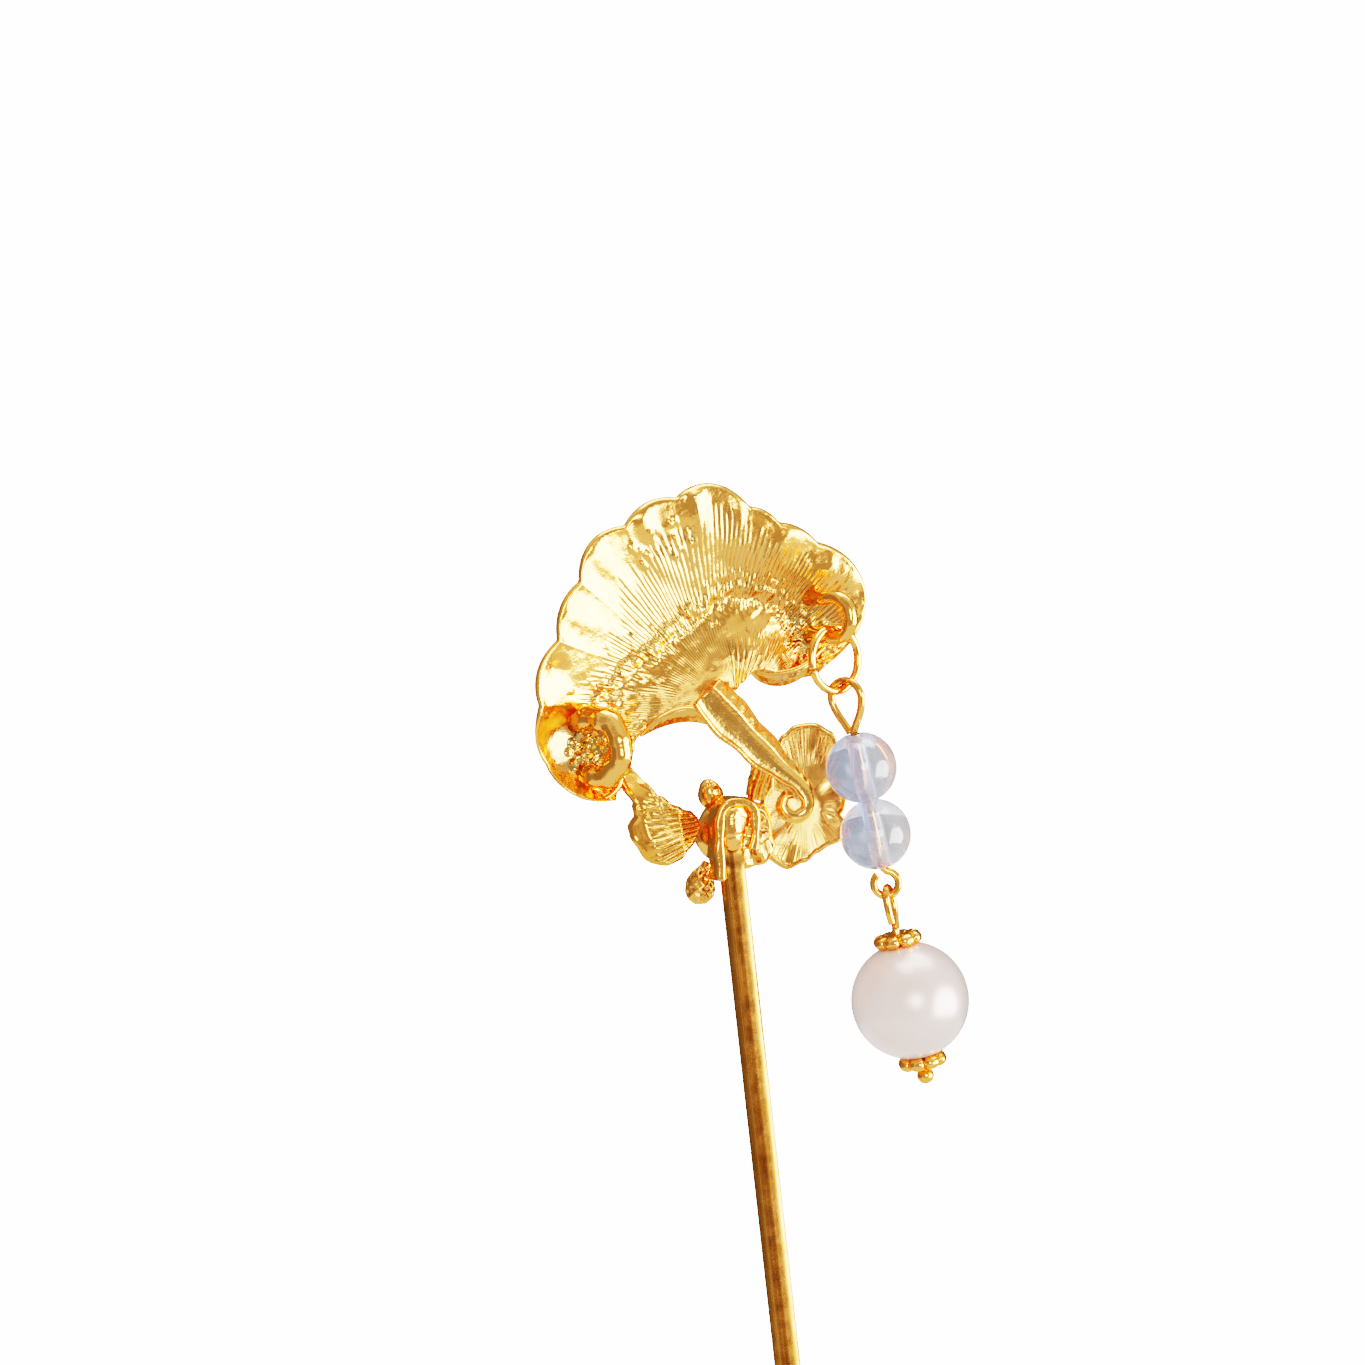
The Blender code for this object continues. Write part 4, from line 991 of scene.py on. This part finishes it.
def build_socket():
    """Cup round the shank's end: a thick, lumpy rim in front of a back wall."""
    spine = smooth_path(SOCKET_SPINE, 12)
    low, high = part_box("shank_socket")
    front = low.y / MM
    back = high.y / MM
    ahead = np.gradient(spine, axis=0)
    ahead /= np.linalg.norm(ahead, axis=1)[:, None]
    turn = turns(64)
    reach = squareness(turn, SOCKET_SQUARENESS)
    lump = 1.0 + 0.16 * waviness(length_along(spine)[:, None], 0.5 * turn, 1.7, 101)
    width = 0.42 * reach * np.cos(turn) * lump
    deep = 0.5 * (back - front) * reach * np.sin(turn) * (1.0 + 0.02 * (lump - 1.0))
    rim = tube(grid(spine[:, :1] - ahead[:, 1:] * width, 0.5 * (front + back) + deep,
                    spine[:, 1:] + ahead[:, :1] * width))
    x, z = np.meshgrid(np.linspace(-1.1, 1.95, 40), np.linspace(2.45, 6.45, 60))
    pull = ramp(5.2, 6.5, z)
    x = x * (1.0 - 0.45 * pull) + 0.3 * pull
    wall_front = grid(x, SOCKET_WALL + 0.10 * waviness(x, z, 1.1, 102), z)
    points, faces = merged((rim, shell(wall_front, grid(x, back - 0.02, z))))
    finish_piece("socket_cup", points, faces, gilt("socket_gilt", (0.08, 0.2)), ["shank_socket"])


def build_solder():
    """Lumpy run of solder that carries the shank's line up into the cup."""
    heights = np.linspace(1.9, 6.45, 70)[:, None]
    turn = turns(72)
    share = (heights - heights[0]) / (heights[-1] - heights[0])
    width = np.interp(share, (0.0, 0.15, 0.45, 0.75, 0.92, 1.0), (0.80, 1.0, 1.35, 1.62, 1.35, 0.5))
    deep = np.interp(share, (0.0, 0.2, 0.45, 0.8, 0.93, 1.0), (1.00, 1.25, 1.45, 1.50, 1.4, 0.8))
    centre = np.interp(share, (0.0, 0.3, 0.8, 1.0), (0.05, 0.2, 0.5, 0.55))
    lump = 1.0 + 0.07 * waviness(heights, 1.1 * turn, 1.9, 111)
    dents = grains(*np.broadcast_arrays(heights, 0.9 * turn), SOLDER_GRAINS)
    points, faces = tube(grid(centre + width * np.cos(turn) * lump,
                              0.15 + (deep + dents) * np.sin(turn) * lump, heights))
    finish_piece("solder_run", points, faces, gilt("solder_gilt", (0.07, 0.18)), ["braze_bead"])


# ---- pendant ----

def joint_place(name):
    joint = [j for j in frame["joints"] if j["name"] == name][0]
    return np.array(joint["pos_m"]) / MM, np.array(joint["axis"])


def unit(vector):
    return np.asarray(vector, float) / np.linalg.norm(vector)


def across(way, down):
    """The part of a direction that is square to `down`, as a unit vector."""
    way = np.asarray(way, float)
    return unit(way - down * way.dot(down))


class Hang:
    """A hanging frame: its pivot, the way down and the plane of its loop."""

    def __init__(self, pivot, down, sideways):
        self.pivot = pivot
        self.down = unit(down)
        self.sideways = across(sideways, self.down)
        self.normal = np.cross(self.down, self.sideways)

    def at(self, side, drop):
        return self.pivot + self.sideways * side + self.down * drop

    def axes(self):
        return self.sideways, self.normal, self.down


def wire_piece(name, path, radii, side, body, replaced):
    points, faces = sweep(np.array(path), np.asarray(radii) + WIRE_COAT, side, 28)
    finish_piece(name, points, faces, gilt(name + "_gilt", (0.05, 0.13), 0.004, 2.0), [replaced], body=body)


def build_jump_ring():
    """Nearly closed ring; its ends meet at the split, a little thinner."""
    pivot, _ = joint_place("ring_swing")
    low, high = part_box("jump_ring")
    centre = np.array((low + high) / 2.0) / MM
    ring = Hang(centre, centre - pivot, RING_PLANE)
    radius = RING_RADIUS - RING_WIRE / 2.0
    path = []
    for step in range(181):
        turn = math.radians(RING_SPLIT + 1.6 + 356.8 * step / 180.0)
        path.append(ring.at(radius * math.cos(turn), radius * math.sin(turn)))
    sizes = np.full(181, RING_WIRE / 2.0)
    sizes[[0, -1]] *= 0.82
    wire_piece("split_ring", path, sizes, ring.normal, "ring", "jump_ring")


def build_link():
    """Wire loop above, a straight run through both beads and an eye below them."""
    pivot, _ = joint_place("link_swing")
    upper, _ = joint_place("opal_upper_spin")
    lower, _ = joint_place("opal_lower_spin")
    drop_pivot, _ = joint_place("drop_swing")
    link = Hang(pivot, lower - upper, LOOP_PLANE)
    rise = (RING_WIRE + PIN_WIRE) / 2.0 + HOOK_GAP
    path = list(smooth_path([link.at(side, fall - rise) for side, fall in LINK_LOOP], 10))
    face = across(EYE_PLANE, link.down)
    eye = drop_pivot - link.down * EYE_RADIUS
    foot = (eye - pivot).dot(link.down) - EYE_RADIUS
    for fall in np.linspace(LINK_STEM + 0.4, foot - 0.55, 24):
        path.append(link.at(0.0, fall))
    path.append(link.at(0.0, foot - 0.25) + face * 0.05)
    for step in range(70):
        turn = math.radians(-72.0 + 309.0 * step / 69.0)
        path.append(eye + (face * math.cos(turn) + link.down * math.sin(turn)) * EYE_RADIUS)
    wire_piece("link_wire", path, np.full(len(path), PIN_WIRE / 2.0), link.normal, "link", "bead_link")
    return link, upper, lower


def bead_profile(radius, mouth, bore, steps):
    """Bored ball, flat within `mouth`, with softly broken edges at the bore."""
    half = math.sqrt(radius ** 2 - mouth ** 2)
    limit = math.asin(half / radius)
    profile = []
    for step in range(steps + 1):
        lift = -limit + 2.0 * limit * step / steps
        profile.append((radius * math.cos(lift), radius * math.sin(lift)))
    profile.append((0.5 * (mouth + bore), half + 0.01))
    profile.append((bore + 0.03, half - 0.02))
    for share in np.linspace(0.97, -0.97, 16):
        profile.append((bore, half * share))
    profile.append((bore + 0.03, -half + 0.02))
    profile.append((0.5 * (mouth + bore), -half - 0.01))
    return profile


def build_beads(link, places):
    profile = bead_profile(OPAL_RADIUS, OPAL_MOUTH, OPAL_BORE, 56)
    for word, centre in zip(("upper", "lower"), places):
        points, faces = turned_ring(profile, centre, link.axes(), 96)
        finish_piece("opal_ball_" + word, points, faces, opal_glass("opal_milk_" + word, centre[0]),
                     ["opal_bead_" + word], body="opal_" + word)


def build_drop():
    """Head pin with its loop and ball, and the two caps and the pearl that turn on it."""
    pivot, axis = joint_place("drop_swing")
    upper, _ = joint_place("cap_upper_spin")
    middle, _ = joint_place("pearl_spin")
    lower, _ = joint_place("cap_lower_spin")
    down = unit(lower - upper)
    twist = math.radians(PIN_TWIST)
    drop = Hang(pivot, down, np.cross(axis, down) * math.cos(twist) + axis * math.sin(twist))
    rise = PIN_WIRE + 1.8 * HOOK_GAP
    path = list(smooth_path([drop.at(side, fall - rise) for side, fall in DROP_LOOP], 10))
    ball = (lower - pivot).dot(down) + BALL_SEAT + PIN_BALL
    for fall in np.linspace(DROP_STEM + 0.4, ball - 0.9, 30):
        path.append(drop.at(0.0, fall))
    sizes = [PIN_WIRE / 2.0] * len(path)
    for lift in np.linspace(-52.0, 84.0, 18):
        path.append(drop.at(0.0, ball + PIN_BALL * math.sin(math.radians(lift))))
        sizes.append(PIN_BALL * math.cos(math.radians(lift)))
    wire_piece("drop_wire", path, sizes, drop.normal, "drop", "head_pin")
    for word, centre in (("upper", upper), ("lower", lower)):
        build_cap(word, centre, drop)
    profile = bead_profile(PEARL_RADIUS, PEARL_MOUTH, PEARL_BORE, 80)
    points, faces = turned_ring(profile, middle, drop.axes(), 128)
    finish_piece("pearl_ball", points, faces, nacre("pearl_nacre"), ["pearl"], body="pearl_ball")


def build_cap(word, centre, drop):
    """Daisy spacer: eight round granules run together about a bored waist."""
    core = CAP_RADIUS - CAP_GRANULE
    profile = []
    for step in range(25):
        lift = math.radians(-90.0 + 7.5 * step)
        profile.append((core + CAP_GRANULE * math.cos(lift), CAP_GRANULE * math.sin(lift) * 0.94))
    waist = [(1.1, 0.40), (0.8, 0.30), (CAP_BORE, 0.26)]
    profile += waist + [(CAP_BORE, 0.0)] + [(radius, -height) for radius, height in waist[::-1]]

    def relief(reach, tall, turn):
        lobe = np.abs(np.cos(0.5 * CAP_LOBES * turn))
        dip = 1.0 - np.sqrt(np.clip(1.0 - (1.0 - lobe) ** 2 * 0.97, 0.0, 1.0))
        share = ramp(0.9, 1.5, reach)
        return reach - share * dip * 0.62, tall * (1.0 - share * dip * 0.55)

    points, faces = turned_ring(profile, centre, drop.axes(), CAP_LOBES * 26, relief)
    name = "cap_daisy_" + word
    finish_piece(name, points, faces, gilt(name + "_gilt", (0.06, 0.14), 0.006, 3.0),
                 ["bead_cap_" + word], body="cap_" + word)


# ---- studio ----

def camera_axes():
    """Image right, image up and the way back to the camera."""
    turn = math.radians(CAMERA_TURN)
    rise = math.radians(CAMERA_RISE)
    roll = math.radians(CAMERA_ROLL)
    right = Vector((math.cos(turn), math.sin(turn), 0.0))
    back = Vector((math.sin(turn) * math.cos(rise), -math.cos(turn) * math.cos(rise), math.sin(rise)))
    up = back.cross(right)
    rolled_up = right * math.sin(roll) + up * math.cos(roll)
    return right * math.cos(roll) - up * math.sin(roll), rolled_up, back


def build_camera():
    right, up, back = camera_axes()
    aim = (right * CAMERA_AIM[0] + up * CAMERA_AIM[1]) * MM
    data = bpy.data.cameras.new("camera")
    data.lens = CAMERA_LENS
    data.sensor_width = CAMERA_SENSOR
    data.clip_start = 0.01
    camera = bpy.data.objects.new("camera", data)
    bpy.context.scene.collection.objects.link(camera)
    place = aim + back * CAMERA_DISTANCE * MM
    rows = [(right[i], up[i], back[i], place[i]) for i in range(3)] + [(0.0, 0.0, 0.0, 1.0)]
    camera.matrix_world = Matrix(rows)
    bpy.context.scene.camera = camera


def build_floor():
    """Plain pale disc below the pin's tip."""
    low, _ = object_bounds()
    height = low[2] - FLOOR_DROP * MM
    radius = FLOOR_RADIUS * MM
    rim = [(radius * math.cos(turn), radius * math.sin(turn), height) for turn in turns(96)]
    mesh = bpy.data.meshes.new("floor")
    mesh.from_pydata(rim, [], [tuple(range(96))])
    paint, shader = new_material("floor_paper", 0.0, 0.9)
    shade = ranged(paint, noise_value(paint, 0.02, 2.0), 0.0, 1.0)
    set_inputs(paint, shader, {"Base Color": blended(paint, shade, (0.88,) * 3, (0.91,) * 3)})
    mesh.materials.append(paint)
    floor = bpy.data.objects.new("floor", mesh)
    bpy.context.scene.collection.objects.link(floor)


# Studio surroundings as patches of the sky: direction in camera terms (right, up, back),
# half angle where the patch is full, half angle where it ends, and its light. SKY is between
# the patches, BACKDROP is what the camera sees and FILL lights every ray that isn't glossy.
WHITE = (1.0, 1.0, 1.0, 1.0)
SKY = 1.0
BACKDROP = 10.0
FILL = 1.45
PATCHES = (
    ((0.0, 0.0, -1.0), 50.0, 75.0, 0.22),
    ((0.93, -0.14, 0.33), 22.0, 31.0, 22.0),
    ((0.10, 0.97, 0.10), 18.0, 32.0, 10.0),
    ((0.62, -0.72, 0.30), 18.0, 32.0, 14.0),
    ((-1.0, 0.0, 0.10), 26.0, 48.0, 0.30),
    ((0.35, 0.70, 0.60), 18.0, 30.0, 1.2),
    ((0.06, -0.04, 1.0), 38.0, 50.0, 0.50),
    ((0.15, 0.06, 0.98), 7.0, 15.0, 14.0),
)


def build_world():
    """White to the camera; to the metal, softboxes and dark cards as patches of light."""
    world = bpy.data.worlds.new("studio")
    bpy.context.scene.world = world
    world.use_nodes = True
    world.node_tree.nodes.clear()
    right, up, back = camera_axes()
    place = add_node(world, "ShaderNodeTexCoord").outputs["Generated"]
    light = SKY
    for way, full, end, level in PATCHES:
        centre = (right * way[0] + up * way[1] + back * way[2]).normalized()
        dot = add_node(world, "ShaderNodeVectorMath", {0: place, 1: centre}, operation="DOT_PRODUCT")
        share = add_node(world, "ShaderNodeMapRange", {
            "Value": dot.outputs["Value"], "From Min": math.cos(math.radians(end)),
            "From Max": math.cos(math.radians(full))}, interpolation_type="SMOOTHSTEP")
        mix = add_node(world, "ShaderNodeMix", {
            "Factor": share.outputs["Result"], "A": light, "B": level}, data_type="FLOAT")
        light = mix.outputs["Result"]
    path = add_node(world, "ShaderNodeLightPath")
    behind = add_node(world, "ShaderNodeMath", {
        0: path.outputs["Is Camera Ray"], 1: BACKDROP - FILL, 2: FILL}, operation="MULTIPLY_ADD")
    plain, glossy = (add_node(world, "ShaderNodeBackground", {"Color": WHITE, "Strength": strength})
                     for strength in (behind.outputs["Value"], light))
    choose = add_node(world, "ShaderNodeMixShader", {
        "Fac": path.outputs["Is Glossy Ray"], 1: plain.outputs["Background"],
        2: glossy.outputs["Background"]})
    add_node(world, "ShaderNodeOutputWorld", {"Surface": choose.outputs["Shader"]})


def main():
    build_leaf()
    for side in LUGS:
        build_lug(side)
    build_stalk()
    build_limb()
    build_hub()
    build_small_leaf()
    build_blossom()
    build_pod()
    build_bud()
    build_shank()
    build_socket()
    build_solder()
    build_jump_ring()
    link, upper, lower = build_link()
    build_beads(link, (upper, lower))
    build_drop()
    build_floor()
    build_camera()
    build_world()
    bpy.context.scene.view_settings.view_transform = "Filmic"
    bpy.context.scene.view_settings.look = "High Contrast"


main()
